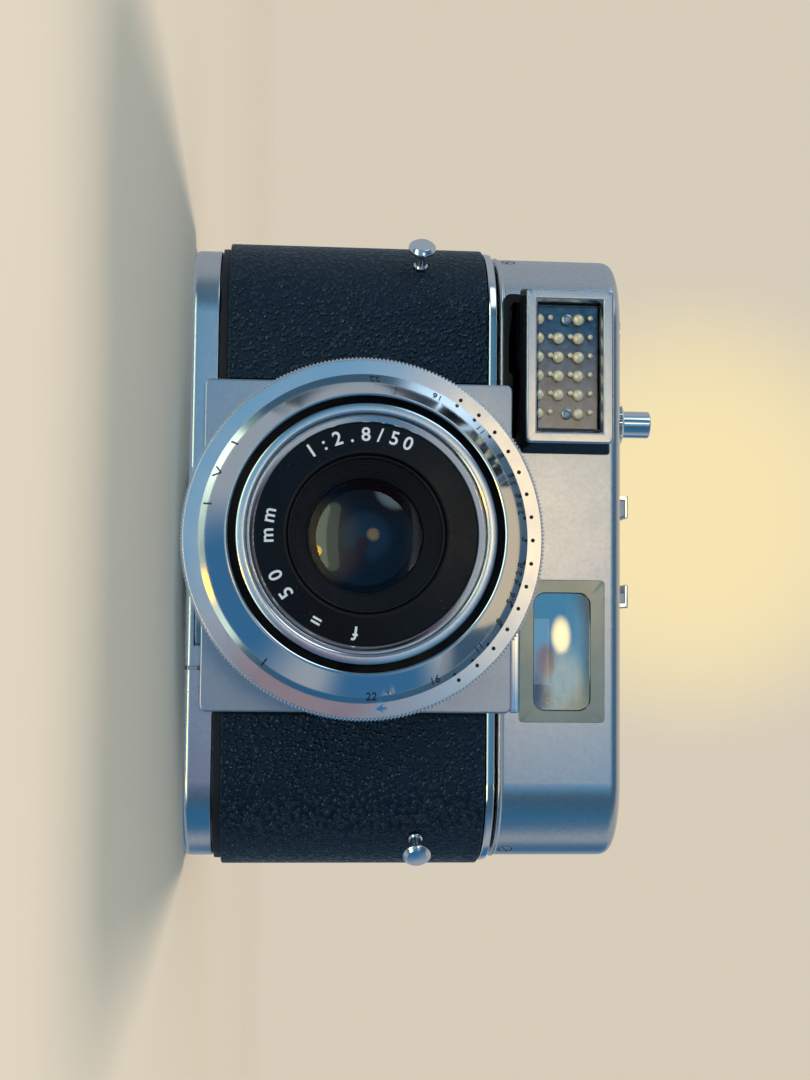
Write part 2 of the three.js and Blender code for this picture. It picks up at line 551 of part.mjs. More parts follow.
// ---------------------------------------------------------------- lens and shutter, in the lens group
const plateZ = PLATE.z.map((z) => z - AXIS_Z);
const mountPlate = cut(
  across(rounded([-PLATE.half, PLATE.half], plateZ, PLATE.corner), PLATE.y),
  aboutY(rod(PLATE.bore, [-DEPTH, 0])),
);
put("lens_mount_plate", mountPlate, satinChrome(), lens);

// A can with a bulkhead in the middle, open at the bore, and a threaded neck through the mount plate.
function shutterHousing() {
  const { r, wall, y: [front, back], skin, bore, lip } = SHUTTER;
  const { r: neck, end: neckEnd } = SHUTTER_NECK;
  const inside = r - wall;
  const [bulkheadFront, bulkheadBack] = BULKHEAD_Y;
  return aboutY([
    [bore, neckEnd], [neck, neckEnd], [neck, back], [r, back], [r, front], [lip, front], [lip, front + skin],
    [inside, front + skin], [inside, bulkheadFront], [bore, bulkheadFront], [bore, bulkheadBack],
    [inside, bulkheadBack], [inside, back - skin], [bore, back - skin],
  ]);
}
put("shutter_housing", shutterHousing(), blackPaint(), lens);

function syncLever() {
  const { band, tip, halfWidth, y, turn } = SYNC;
  const quarter = block([-DEPTH, 0], [-DEPTH, 0], [-DEPTH, 0]);
  const arc = aboutY(ring(SHUTTER.r + 0.35, band, y)).intersect(quarter);
  const tab = across(rounded([-halfWidth, halfWidth], [-tip, 1.6 - band], 0.8), y);
  return arc.add(tab.rotate([0, turn, 0]));
}
put("sync_lever", syncLever(), brushed(), lens);

function flashSocket() {
  const { bore, r, from, floor, to, y, turn } = FLASH;
  const profile = [[0, from], [r, from], [r, to], [bore, to], [bore, floor], [0, floor]];
  const standing = turned(profile, 16).rotateX(Math.PI / 2).translate(0, y, 0);
  return solid(standing.rotateY(THREE.MathUtils.degToRad(turn)));
}
put("flash_socket", flashSocket(), brightChrome(), lens);

put("aperture_ring", aboutY(ring(RING_BORE, APERTURE_RING.r, APERTURE_RING.y)), brushed(), lens);

function speedRing() {
  const { r, y: [front, back], chamfer } = SPEED_RING;
  const outside = [[r, back], [r, front + chamfer], [r - chamfer, front]];
  return aboutY([[RING_BORE, back], ...outside, [RING_BORE, front]], 60);
}
put("shutter_speed_ring", speedRing(), satinChrome(), lens);

function scaleCone() {
  const { r: [rBack, rFront], bore, y: [back, front] } = CONE;
  return aboutY([[bore, back], [rBack, back], [rFront, front], [bore, front]], 60);
}
put("depth_scale_ring", scaleCone(), brightChrome(), lens);

function focusingRing() {
  const { r, rim, bore, back, shoulder } = BARREL;
  return aboutY([
    [bore, back], [r, back], [r, LENS_FRONT + GAP], [r - GAP, LENS_FRONT],
    [rim, LENS_FRONT], [rim - 0.2, shoulder], [bore, shoulder],
  ]);
}
put("focusing_ring", focusingRing(), brushed(), lens);

function frontCell() {
  const { r, mouth, bore, y: [front, back], throat } = CELL;
  return aboutY([[bore, back], [r, back], [r, front + 0.7], [mouth, front], [bore, throat]]);
}
put("front_cell", frontCell(), blackPaint(), lens);

function nameRing() {
  const { r: [inner, outer], front, back, seat } = NAME_RING;
  return aboutY([
    [inner, front + 0.6], [seat, back], [outer, back], [outer, front + 0.3], [inner, front],
  ]);
}
put("name_ring", nameRing(), blackPaint(), lens);

function frontElement() {
  const { r, y: [apex, back] } = FRONT_GLASS;
  const dome = [[r, 2.1], [0.76 * r, 1.1], [0.43 * r, 0.3], [0, 0]].map(([at, drop]) => [at, apex + drop]);
  return aboutY([[0, back], [r, back], ...dome], 32);
}
put("front_element", frontElement(), glass(), lens);

put("rear_cell", aboutY(ring(...REAR_CELL.r, REAR_CELL.y), 32), blackPaint(), lens);
const rearRadius = REAR_CELL.r[0] - GAP;
const rearElement = [[0, -10.6], [0.6 * rearRadius, -11], [rearRadius, -12], [rearRadius, -15], [0, -15]];
put("rear_element", aboutY(rearElement, 32), glass(), lens);
put("shutter_blades", aboutY(rod(BLADES.r, BLADES.shutter), 32), steel(), lens);
put("iris_blades", aboutY(ring(BLADES.irisHole, BLADES.r, BLADES.iris), 32), blackPaint(), lens);

export default camera;
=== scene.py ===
"""Looks for the 35 mm viewfinder camera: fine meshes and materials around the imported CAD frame.

Lengths are millimetres until a mesh is made. Z is up, the lens looks along -Y, and clock angles on the
lens start at the top and grow towards +X.
"""

import json
import math

import bmesh
import bpy
from mathutils import Matrix, Quaternion, Vector

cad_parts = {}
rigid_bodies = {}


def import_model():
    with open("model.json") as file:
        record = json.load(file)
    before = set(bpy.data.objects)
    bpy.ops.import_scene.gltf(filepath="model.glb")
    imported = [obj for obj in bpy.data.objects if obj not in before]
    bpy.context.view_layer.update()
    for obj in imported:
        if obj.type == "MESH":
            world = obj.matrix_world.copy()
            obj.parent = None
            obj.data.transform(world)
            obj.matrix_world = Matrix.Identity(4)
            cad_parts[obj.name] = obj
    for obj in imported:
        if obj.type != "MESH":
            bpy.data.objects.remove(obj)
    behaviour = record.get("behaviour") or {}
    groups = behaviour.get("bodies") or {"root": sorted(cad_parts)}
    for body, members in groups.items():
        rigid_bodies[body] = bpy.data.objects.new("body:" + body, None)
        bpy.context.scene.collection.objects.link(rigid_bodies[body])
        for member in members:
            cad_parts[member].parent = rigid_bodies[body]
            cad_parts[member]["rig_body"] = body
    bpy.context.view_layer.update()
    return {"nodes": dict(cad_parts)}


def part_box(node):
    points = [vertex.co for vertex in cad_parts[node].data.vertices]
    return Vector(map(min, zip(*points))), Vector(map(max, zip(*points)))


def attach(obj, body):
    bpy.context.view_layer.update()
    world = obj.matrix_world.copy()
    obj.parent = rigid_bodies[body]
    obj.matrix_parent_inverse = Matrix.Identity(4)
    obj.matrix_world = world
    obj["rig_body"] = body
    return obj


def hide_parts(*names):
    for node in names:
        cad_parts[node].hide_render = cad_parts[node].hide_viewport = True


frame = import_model()
MM = 0.001
NODES = frame["nodes"]


def span(node):
    """A CAD node's extent as ((x0, x1), (y0, y1), (z0, z1)) in millimetres."""
    low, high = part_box(node)
    return tuple((a / MM, b / MM) for a, b in zip(low, high, strict=True))


def middle(pair):
    return (pair[0] + pair[1]) / 2


def half(pair):
    return (pair[1] - pair[0]) / 2


def widened(pair, by):
    return pair[0] - by, pair[1] + by


# The lens axis is the middle of the round speed ring.
AXIS_X = middle(span("shutter_speed_ring")[0])
AXIS_Z = middle(span("shutter_speed_ring")[2])
LENS_AXIS = (AXIS_X, AXIS_Z)
TO_LENS_AXIS = Matrix.Translation((AXIS_X, 0, AXIS_Z))


# ------------------------------------------------------------------ outlines
def circle(centre=(0, 0), sides=128):
    """An outline whose parameter is its radius."""

    def points(radius):
        turns = (2 * math.pi * i / sides for i in range(sides))
        return [(centre[0] + radius * math.sin(t), centre[1] + radius * math.cos(t)) for t in turns]

    return points


def knurled(centre, teeth, outer, depth, plain):
    """A circle with teeth that are full at radius outer and gone at radius plain."""

    def points(radius):
        share = min(max((radius - plain) / (outer - plain), 0), 1)
        out = []
        for i in range(4 * teeth):
            turn = 2 * math.pi * i / (4 * teeth)
            r = radius - (depth * share if i % 4 in (0, 1) else 0)
            out.append((centre[0] + r * math.sin(turn), centre[1] + r * math.cos(turn)))
        return out

    return points


def rounded_box(xs, zs, corner, steps=8):
    """A rectangle with round corners, whose parameter is the inset from its edge."""

    def points(inset):
        r = max(corner - inset, 0.02)
        out = []
        for k, (sx, sz) in enumerate([(1, 1), (-1, 1), (-1, -1), (1, -1)]):
            cx = middle(xs) + sx * (half(xs) - inset - r)
            cz = middle(zs) + sz * (half(zs) - inset - r)
            for i in range(steps + 1):
                turn = math.pi / 2 * (k + i / steps)
                out.append((cx + r * math.cos(turn), cz + r * math.sin(turn)))
        return out

    return points


def body_plan(half_length, half_depth, steps=40):
    """The body's plan, straight with half-round ends. Its parameter is the inset."""

    def points(inset):
        r = half_depth - inset
        straight = half_length - half_depth
        out = []
        for side in (1, -1):
            for i in range(steps + 1):
                turn = side * math.pi / 2 - side * math.pi * i / steps
                out.append((side * straight + side * r * math.cos(turn), r * math.sin(turn)))
        return out

    return points


def soften(corners, radius, steps=3, closed=True):
    """A profile with each corner rounded to the radius, or to less where its sides are short."""
    out = []
    count = len(corners)
    for i, corner in enumerate(corners):
        if not closed and i in (0, count - 1):
            out.append(tuple(corner))
            continue
        here = Vector(corner)
        back = Vector(corners[i - 1]) - here
        on = Vector(corners[(i + 1) % count]) - here
        angle = back.angle(on)
        reach = min(radius / max(math.tan(angle / 2), 0.05), back.length * 0.45, on.length * 0.45)
        start, end = here + back.normalized() * reach, here + on.normalized() * reach
        for k in range(steps + 1):
            t = k / steps
            out.append(tuple(start * (1 - t) ** 2 + here * 2 * t * (1 - t) + end * t**2))
    return out


# ------------------------------------------------------------------ parts, as (points, faces)
def loft(outline, profile, axis="Z", frame_like=False):
    """Rings of one outline, one for each (parameter, height). frame_like joins the last ring to the first."""
    rings = [[(a, b, h) if axis == "Z" else (a, h, b) for a, b in outline(p)] for p, h in profile]
    n, count = len(rings[0]), len(rings)
    faces = []
    for k in range(count if frame_like else count - 1):
        j = (k + 1) % count
        faces += [(k * n + i, k * n + (i + 1) % n, j * n + (i + 1) % n, j * n + i) for i in range(n)]
    if not frame_like:
        faces += [tuple(range(n)), tuple(range((count - 1) * n, count * n))]
    return [v for ring in rings for v in ring], faces


def prism(outline, low, high):
    """A plate with the outline (x, z), from one height along Y to the other."""
    n = len(outline)
    points = [(a, h, b) for h in (low, high) for a, b in outline]
    faces = [tuple(range(n)), tuple(range(n, 2 * n))]
    faces += [(i, (i + 1) % n, n + (i + 1) % n, n + i) for i in range(n)]
    return points, faces


def block(xs, ys, zs, edge=0.3, corner=0.4):
    """A block with rounded edges, drawn in X and Z."""
    low, high = ys
    profile = soften([(edge * 4, low), (0, low), (0, high), (edge * 4, high)], edge, closed=False)
    return loft(rounded_box(xs, zs, corner, steps=4), profile, "Y")


def box_part(xs, ys, zs):
    """A plain closed box, used only to cut."""
    return loft(rounded_box(xs, ys, 0.05, 1), [(0, zs[0]), (0, zs[1])])


def through_y(outline, ys, parameter=0):
    """A closed bar along Y, used only to cut."""
    return loft(outline, [(parameter, ys[0]), (parameter, ys[1])], "Y")


def disc(centre, radius, zs, sides=96):
    return loft(circle(centre, sides), [(radius, zs[0]), (radius, zs[1])])


def move(part, matrix):
    points, faces = part
    return [tuple(matrix @ Vector(p)) for p in points], faces


def on_lens(part, radius, clock, y, lean=0, inward=False):
    """Stands a flat part on the lens front, its top outward or inward, leaning back by lean degrees."""
    turn = math.radians(clock)
    place = (AXIS_X + radius * math.sin(turn), y, AXIS_Z + radius * math.cos(turn))
    spin = Matrix.Rotation(math.radians(clock + (180 if inward else 0)), 4, "Y")
    tilt = Matrix.Rotation(math.radians(lean if inward else -lean), 4, "X")
    return move(part, Matrix.Translation(place) @ spin @ tilt)


# ------------------------------------------------------------------ meshes and pieces
def add_object(name, data):
    thing = bpy.data.objects.new(name, data)
    bpy.context.scene.collection.objects.link(thing)
    return thing


def evaluated_mesh(thing):
    """The object's mesh with its modifiers applied."""
    bpy.context.view_layer.update()
    return bpy.data.meshes.new_from_object(thing.evaluated_get(bpy.context.evaluated_depsgraph_get()))


def shade(mesh, sharp=35):
    """Smooth shading, except at edges sharper than the angle in degrees."""
    bm = bmesh.new()
    bm.from_mesh(mesh)
    for face in bm.faces:
        face.smooth = True
    for edge in bm.edges:
        edge.smooth = len(edge.link_faces) == 2 and edge.calc_face_angle() < math.radians(sharp)
    bm.to_mesh(mesh)
    bm.free()


def mesh_of(name, *parts, sharp=35):
    """One mesh in metres from (points, faces) parts."""
    bm = bmesh.new()
    for points, faces in parts:
        verts = [bm.verts.new([c * MM for c in p]) for p in points]
        for face in faces:
            bm.faces.new([verts[i] for i in face])
    bmesh.ops.remove_doubles(bm, verts=bm.verts, dist=1e-7)
    bmesh.ops.dissolve_degenerate(bm, dist=1e-7, edges=bm.edges)
    bmesh.ops.recalc_face_normals(bm, faces=bm.faces)
    mesh = bpy.data.meshes.new(name)
    bm.to_mesh(mesh)
    bm.free()
    shade(mesh, sharp)
    return mesh


def carve(mesh, *cutters):
    """Cuts closed (points, faces) parts out of a mesh."""
    thing = add_object("carved", mesh)
    for i, cutter in enumerate(cutters):
        tool = add_object(f"cutter_{i}", mesh_of(f"cutter_{i}", cutter))
        cut = thing.modifiers.new(tool.name, "BOOLEAN")
        cut.operation, cut.object, cut.solver = "DIFFERENCE", tool, "EXACT"
    result = evaluated_mesh(thing)
    for cut in list(thing.modifiers):
        bpy.data.objects.remove(cut.object)
    bpy.data.objects.remove(thing)
    shade(result)
    return result


def piece(name, node, material, *shape, sharp=35, stands=True, flat=True):
    """Adds a piece on the node's body, which stands for the node unless told not to.

    The shape is one mesh or (points, faces) parts. flat keeps large faces looking flat beside rounded edges.
    """
    mesh = shape[0] if isinstance(shape[0], bpy.types.Mesh) else mesh_of(name, *shape, sharp=sharp)
    thing = add_object(name, mesh)
    mesh.materials.clear()
    mesh.materials.append(material)
    if flat:
        thing.modifiers.new("weighted", "WEIGHTED_NORMAL").keep_sharp = True
    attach(thing, NODES[node]["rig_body"])
    if stands:
        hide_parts(node)


def refined(name, node, material, edge=0.15):
    """A copy of a CAD node with its flat faces merged, its edges rounded and its curves smooth."""
    bm = bmesh.new()
    bm.from_mesh(NODES[node].data)
    bmesh.ops.remove_doubles(bm, verts=bm.verts, dist=1e-6)
    bmesh.ops.dissolve_limit(bm, angle_limit=math.radians(1), verts=bm.verts, edges=bm.edges)
    corners = [e for e in bm.edges if len(e.link_faces) == 2 and e.calc_face_angle() > math.radians(30)]
    bevel = {"offset": edge * MM, "segments": 2, "profile": 0.5, "affect": "EDGES", "clamp_overlap": True}
    bmesh.ops.bevel(bm, geom=corners, **bevel)
    mesh = bpy.data.meshes.new(name)
    bm.to_mesh(mesh)
    bm.free()
    shade(mesh)
    piece(name, node, material, mesh)


def glyph(text, size, bold=0.0):
    """A thin word in X and Z, facing -Y, centred on the origin."""
    curve = bpy.data.curves.new("glyph", "FONT")
    curve.body, curve.size, curve.align_x, curve.align_y = text, size, "CENTER", "CENTER"
    curve.extrude, curve.resolution_u, curve.offset = 0.02, 3, bold * size
    thing = add_object("glyph", curve)
    mesh = evaluated_mesh(thing)
    points = [(v.co.x, -v.co.z, v.co.y) for v in mesh.vertices]
    faces = [tuple(p.vertices) for p in mesh.polygons]
    bpy.data.objects.remove(thing)
    bpy.data.meshes.remove(mesh)
    return points, faces


# ------------------------------------------------------------------ materials
def add_node(tree, kind, inputs=(), **settings):
    """Adds a node. Inputs that are sockets are linked, the others become values."""
    made = tree.nodes.new(kind)
    for key, value in settings.items():
        setattr(made, key, value)
    for key, value in dict(inputs).items():
        if isinstance(value, bpy.types.NodeSocket):
            tree.links.new(value, made.inputs[key])
        else:
            made.inputs[key].default_value = value
    return made


def add_mix(tree, factor, one, other):
    """Mixes two colours, each a socket or (r, g, b)."""
    first, second = (v if isinstance(v, bpy.types.NodeSocket) else (*v, 1) for v in (one, other))
    return add_node(tree, "ShaderNodeMix", {0: factor, 6: first, 7: second}, data_type="RGBA").outputs[2]


class Finish:
    """A principled material and short ways to add nodes to it."""

    def __init__(self, name, colour, roughness, metallic=0.0, **sockets):
        self.material = bpy.data.materials.new(name)
        self.material.use_nodes = True
        self.tree = self.material.node_tree
        self.shader = self.tree.nodes["Principled BSDF"]
        self.shader.inputs["Base Color"].default_value = (*colour, 1)
        self.shader.inputs["Roughness"].default_value = roughness
        self.shader.inputs["Metallic"].default_value = metallic
        for socket, value in sockets.items():
            self.shader.inputs[socket.replace("_", " ")].default_value = value
        self.place = self.tree.nodes.new("ShaderNodeTexCoord").outputs["Object"]
        self.height = None

    def node(self, kind, inputs=(), **settings):
        return add_node(self.tree, kind, inputs, **settings)

    def set(self, socket, value):
        self.tree.links.new(value, self.shader.inputs[socket])

    def stretched(self, scale):
        return self.node("ShaderNodeMapping", {"Vector": self.place, "Scale": scale}).outputs["Vector"]

    def noise(self, scale, detail=3, vector=None):
        inputs = {"Vector": vector or self.place, "Scale": scale, "Detail": detail, "Roughness": 0.6}
        return self.node("ShaderNodeTexNoise", inputs).outputs["Fac"]

    def cells(self, scale, vector=None, smooth=None):
        """Distance to the nearest cell's centre, with smooth joins where smooth is given."""
        inputs = {"Vector": vector or self.place, "Scale": scale}
        if smooth is None:
            return self.node("ShaderNodeTexVoronoi", inputs, feature="F1").outputs["Distance"]
        inputs["Smoothness"] = smooth
        return self.node("ShaderNodeTexVoronoi", inputs, feature="SMOOTH_F1").outputs["Distance"]

    def radius(self, centre, across):
        """Distance from an axis through the centre, as a 1D noise coordinate. across is 0 along the axis."""
        offset = [-c * MM * a for c, a in zip(centre, across, strict=True)]
        moved = self.node("ShaderNodeMapping", {"Vector": self.place, "Location": offset, "Scale": across})
        length = self.node("ShaderNodeVectorMath", {0: moved.outputs["Vector"]}, operation="LENGTH")
        return length.outputs["Value"]

    def fit(self, value, low, high, out_low=0, out_high=1):
        inputs = {"Value": value, "From Min": low, "From Max": high, "To Min": out_low, "To Max": out_high}
        return self.node("ShaderNodeMapRange", inputs).outputs["Result"]

    def dome(self, distance, reach):
        """A round bump that is 1 where the distance is 0 and falls to 0 at the reach."""
        square = self.node("ShaderNodeMath", {0: distance, 1: distance}, operation="MULTIPLY")
        return self.fit(square.outputs["Value"], 0, reach * reach, 1, 0)

    def bump(self, height, strength, distance):
        inputs = {"Height": height, "Strength": strength, "Distance": distance * MM}
        if self.height is not None:
            inputs["Normal"] = self.height
        self.height = self.node("ShaderNodeBump", inputs).outputs["Normal"]
        self.set("Normal", self.height)

    def grain(self, scale, detail, strength, distance, vector=None):
        """Bumps of noise."""
        self.bump(self.noise(scale, detail, vector), strength, distance)

    def wear(self, scale, detail, noise_range, smooth, rough):
        """Roughness that drifts between two values."""
        self.set("Roughness", self.fit(self.noise(scale, detail), *noise_range, smooth, rough))

    def tint(self, share, one, other):
        """Base colour between one, where the share is 0, and the other."""
        self.set("Base Color", add_mix(self.tree, share, one, other))

    def mottle(self, scale, low, high, one, other):
        self.tint(self.fit(self.noise(scale, 3), low, high), one, other)


def satin_chrome(name, colour, roughness):
    """Fine satin plating: a sandy micro grain, faint wipe marks and a few hairline scratches."""
    made = Finish(name, colour, roughness[0], 1.0)
    made.wear(45, 4, (0.35, 0.65), *roughness)
    made.mottle(1500, 0.35, 0.75, colour, tuple(c * 0.9 for c in colour))
    made.grain(7000, 2, 0.25, 0.01)
    scratches = made.fit(made.noise(30, 6, made.stretched((60, 60, 4))), 0.66, 0.7)
    made.bump(scratches, 0.08, 0.01)
    return made.material


def turned_metal(name, colour, roughness, groove, upright=None):
    """Metal turned about the lens axis, or a node's upright axis: concentric lines of uneven depth."""
    made = Finish(name, colour, roughness, 1.0, Anisotropic=0.75, Anisotropic_Rotation=0.25)
    if upright:
        xs, ys, _ = span(upright)
        distance = made.radius((middle(xs), middle(ys), 0), (1, 1, 0))
    else:
        distance = made.radius((AXIS_X, 0, AXIS_Z), (1, 0, 1))
    inputs = {"W": distance, "Scale": 9000, "Detail": 4}
    made.bump(made.node("ShaderNodeTexNoise", inputs, noise_dimensions="1D").outputs["Fac"], groove, 0.006)
    made.wear(70, 4, (0.3, 0.7), roughness * 0.85, roughness * 1.25)
    made.grain(6000, 2, 0.05, 0.008)
    round_it = made.node("ShaderNodeTangent", direction_type="RADIAL", axis="Z" if upright else "Y")
    made.set("Tangent", round_it.outputs["Tangent"])
    return made.material


def bright_chrome(name, colour=(0.83, 0.84, 0.86), roughness=0.07):
    made = Finish(name, colour, roughness, 1.0)
    made.wear(120, 5, (0.35, 0.75), roughness, roughness * 2.2)
    made.grain(500, 3, 0.02, 0.02)
    return made.material


def black_leather(name):
    """Pebbled leather cloth: small raised grains of uneven size with creases between them. Its blue tint is
    painted blue light, and the darker creases are painted shade.
    """
    # Painted reflection: the sheen and the base colour of this black leather are tinted blue, as if lit by a
    # blue room.
    painted_blue_sheen = {"Specular_IOR_Level": 0.9, "Specular_Tint": (0.45, 0.72, 1, 1)}
    made = Finish(name, (0.001, 0.008, 0.016), 0.42, **painted_blue_sheen)
    warp = made.node("ShaderNodeTexNoise", {"Vector": made.place, "Scale": 650.0, "Detail": 2.0})
    shift = {0: warp.outputs["Color"], 1: (0.0011, 0.0011, 0.0011), 2: made.place}
    shifted = made.node("ShaderNodeVectorMath", shift, operation="MULTIPLY_ADD").outputs["Vector"]
    grains = made.cells(1150, shifted, 0.15)
    made.bump(made.dome(grains, 0.6), 1.0, 0.3)
    made.bump(made.dome(made.cells(2600, shifted, 0.25), 0.6), 0.5, 0.05)
    made.grain(8000, 2, 0.3, 0.014)
    made.set("Roughness", made.fit(grains, 0.1, 0.6, 0.17, 0.45))
    # Painted shade: the creases between the grains are darker than the blue-tinted crests.
    crest, painted_shaded_crease = (0.001, 0.009, 0.018), (0.0002, 0.0006, 0.001)
    made.tint(made.fit(grains, 0.15, 0.55), crest, painted_shaded_crease)
    return made.material


def black_paint(name, roughness, colour, dust=False):
    """Black lacquer with a little orange peel; dust puts pale specks on it."""
    made = Finish(name, colour, roughness, Specular_IOR_Level=0.25, Coat_Weight=0.05, Coat_Roughness=0.1)
    made.grain(2500, 2, 0.06, 0.02)
    made.wear(200, 4, (0.3, 0.7), roughness * 0.8, roughness * 1.3)
    if dust:
        made.tint(made.fit(made.cells(900), 0.0, 0.06, 1, 0), colour, (0.3, 0.3, 0.3))
    return made.material


def grained(name, colour, roughness, grain, metallic=0.0, **sockets):
    """A plain finish with one grain, given as (scale, detail, strength, distance)."""
    made = Finish(name, colour, roughness, metallic, **sockets)
    made.grain(*grain)
    return made.material


def inlay(name, colour, roughness=0.5):
    return grained(name, colour, roughness, (8000, 2, 0.15, 0.01))


def clear_glass(name, tint=(1, 1, 1), colour=(0.95, 0.97, 1), ior=1.5):
    optics = {"Transmission_Weight": 1.0, "IOR": ior, "Specular_Tint": (*tint, 1)}
    return grained(name, colour, 0.02, (60, 2, 0.01, 0.05), **optics)


def plain_steel(name, colour=(0.55, 0.56, 0.58), roughness=0.32):
    made = Finish(name, colour, roughness, 1.0)
    made.wear(300, 4, (0.3, 0.7), roughness * 0.75, roughness * 1.4)
    made.grain(3000, 3, 0.1, 0.01)
    return made.material


def milled_metal(name, colour, roughness):
    """Bare worked metal: short uneven tool marks under a little polish."""
    made = Finish(name, colour, roughness, 1.0)
    made.wear(90, 4, (0.3, 0.7), roughness * 0.8, roughness * 1.3)
    made.grain(60, 5, 0.15, 0.01, made.stretched((60, 4, 60)))
    made.grain(5000, 2, 0.05, 0.008)
    return made.material


def mottled(name, colour, roughness, metallic, mottle, grain, **sockets):
    """A finish whose colour drifts, with one grain."""
    made = Finish(name, colour, roughness, metallic, **sockets)
    made.mottle(*mottle)
    made.grain(*grain)
    return made.material


CHROME = satin_chrome("satin_chrome", (0.76, 0.76, 0.77), (0.25, 0.28))
PLATE_CHROME = satin_chrome("plate_chrome", (0.66, 0.67, 0.7), (0.28, 0.36))
RING_FACE = turned_metal("ring_face", (0.8, 0.81, 0.82), 0.17, 0.22)
RIM_METAL = turned_metal("rim_metal", (0.84, 0.85, 0.87), 0.2, 0.25)
CONE_METAL = bright_chrome("cone_metal", (0.78, 0.8, 0.83), 0.06)
MILLED = milled_metal("milled_metal", (0.78, 0.79, 0.81), 0.22)
KNOB_METAL = turned_metal("knob_metal", (0.78, 0.79, 0.8), 0.22, 0.3, "rewind_knob")
BRIGHT = bright_chrome("bright_chrome")
BEZEL = satin_chrome("bezel_metal", (0.72, 0.72, 0.73), (0.18, 0.26))
LEATHER = black_leather("black_leather")
GLOSS_BLACK = black_paint("gloss_black", 0.25, (0.003, 0.003, 0.004), dust=True)
BLACK = black_paint("black_lacquer", 0.38, (0.006, 0.006, 0.007))
SLATE = black_paint("slate_lacquer", 0.22, (0.012, 0.02, 0.03))
MATT = grained("matt_black", (0.008, 0.008, 0.009), 0.75, (4000, 2, 0.2, 0.02))
WHITE_INLAY = inlay("white_inlay", (0.85, 0.85, 0.83))
BLACK_INLAY = inlay("black_inlay", (0.008, 0.01, 0.014))
BLUE_INLAY = inlay("blue_inlay", (0.02, 0.25, 0.5))
CLEAR = clear_glass("clear_glass")
COATED = clear_glass("coated_glass", (0.75, 0.8, 0.8), (0.3, 0.34, 0.45), 1.62)
STEEL = plain_steel("plain_steel")
BLUED = plain_steel("blued_steel", (0.012, 0.013, 0.018), 0.45)
CAST = grained("cast_black", (0.02, 0.02, 0.022), 0.5, (1800, 3, 0.4, 0.03), 0.3)
CARD = inlay("ivory_card", (0.8, 0.78, 0.7), 0.6)
# Pressed glass over a silvered back, glossy outside. Its creamy colour is a painted warm highlight, standing
# for warm light caught in the clear bubbles.
PAINTED_GLINT_GLASS = mottled(
    "glass_with_painted_glint", (1, 0.85, 0.55), 0.32, 0.4,
    (900, 0.3, 0.7, (1, 0.87, 0.58), (0.93, 0.78, 0.5)), (3000, 2, 0.05, 0.01),
    Coat_Weight=1.0, Coat_Roughness=0.03,
)
# A deep coated element, opaque and almost black as painted shade for the dark inside of the lens, with a
# coloured reflection.
SHADED_VIOLET_GLASS = grained(
    "violet_glass_painted_dark", (0.002, 0.002, 0.004), 0.02, (60, 2, 0.01, 0.05),
    IOR=1.4, Specular_Tint=(0.12, 0.14, 0.8, 1),
)
# The selenium plate, dark and faintly iridescent.
SELENIUM = mottled(
    "selenium", (0.05, 0.1, 0.18), 0.3, 0.9,
    (900, 0.35, 0.7, (0.03, 0.07, 0.13), (0.08, 0.17, 0.28)), (2600, 3, 0.3, 0.03),
)
# The finder's masked glass front: a pale grey-green backing seen through polished glass.
MASKED = mottled(
    "masked_glass", (0.30, 0.32, 0.26), 0.3, 0.3,
    (120, 0.35, 0.7, (0.33, 0.35, 0.28), (0.26, 0.28, 0.23)), (2500, 2, 0.04, 0.01),
    Coat_Weight=1.0, Coat_Roughness=0.04,
)
# Lightly silvered glass, as on a bright-frame finder.
MIRROR_GLASS = grained(
    "finder_glass", (0.85, 0.92, 0.9), 0.03, (60, 2, 0.02, 0.05), 0.5, Transmission_Weight=1.0, IOR=1.5
)

# ------------------------------------------------------------------ body
WALL = 1.2
SCREWS = ("housing_screw_left", "housing_screw_right")
END_CENTRE = span("leather_right")[0][1] + span("leather_right")[1][0]
LATCH_CENTRE = (span("flap_latch_key")[0][0] + half(span("flap_latch_key")[1]), 0)
HINGE_X = 21.5


def on_end(part, node, radius):
    """Stands a part, drawn up from the origin, on a half-round end of the body at the node's place."""
    centre_of = Vector([middle(pair) for pair in span(node)])
    centre = Vector((math.copysign(END_CENTRE, centre_of.x), 0, centre_of.z))
    out = (centre_of - centre).normalized()
    turn = Vector((0, 0, 1)).rotation_difference(out).to_matrix().to_4x4()
    return move(part, Matrix.Translation(centre + out * radius) @ turn)


def bore(node, gap, zs, sides=96):
    """A cutter for a round node with an upright axis, wider than the node by the gap."""
    xs, ys, _ = span(node)
    return disc((middle(xs), middle(ys)), half(xs) + gap, zs, sides)


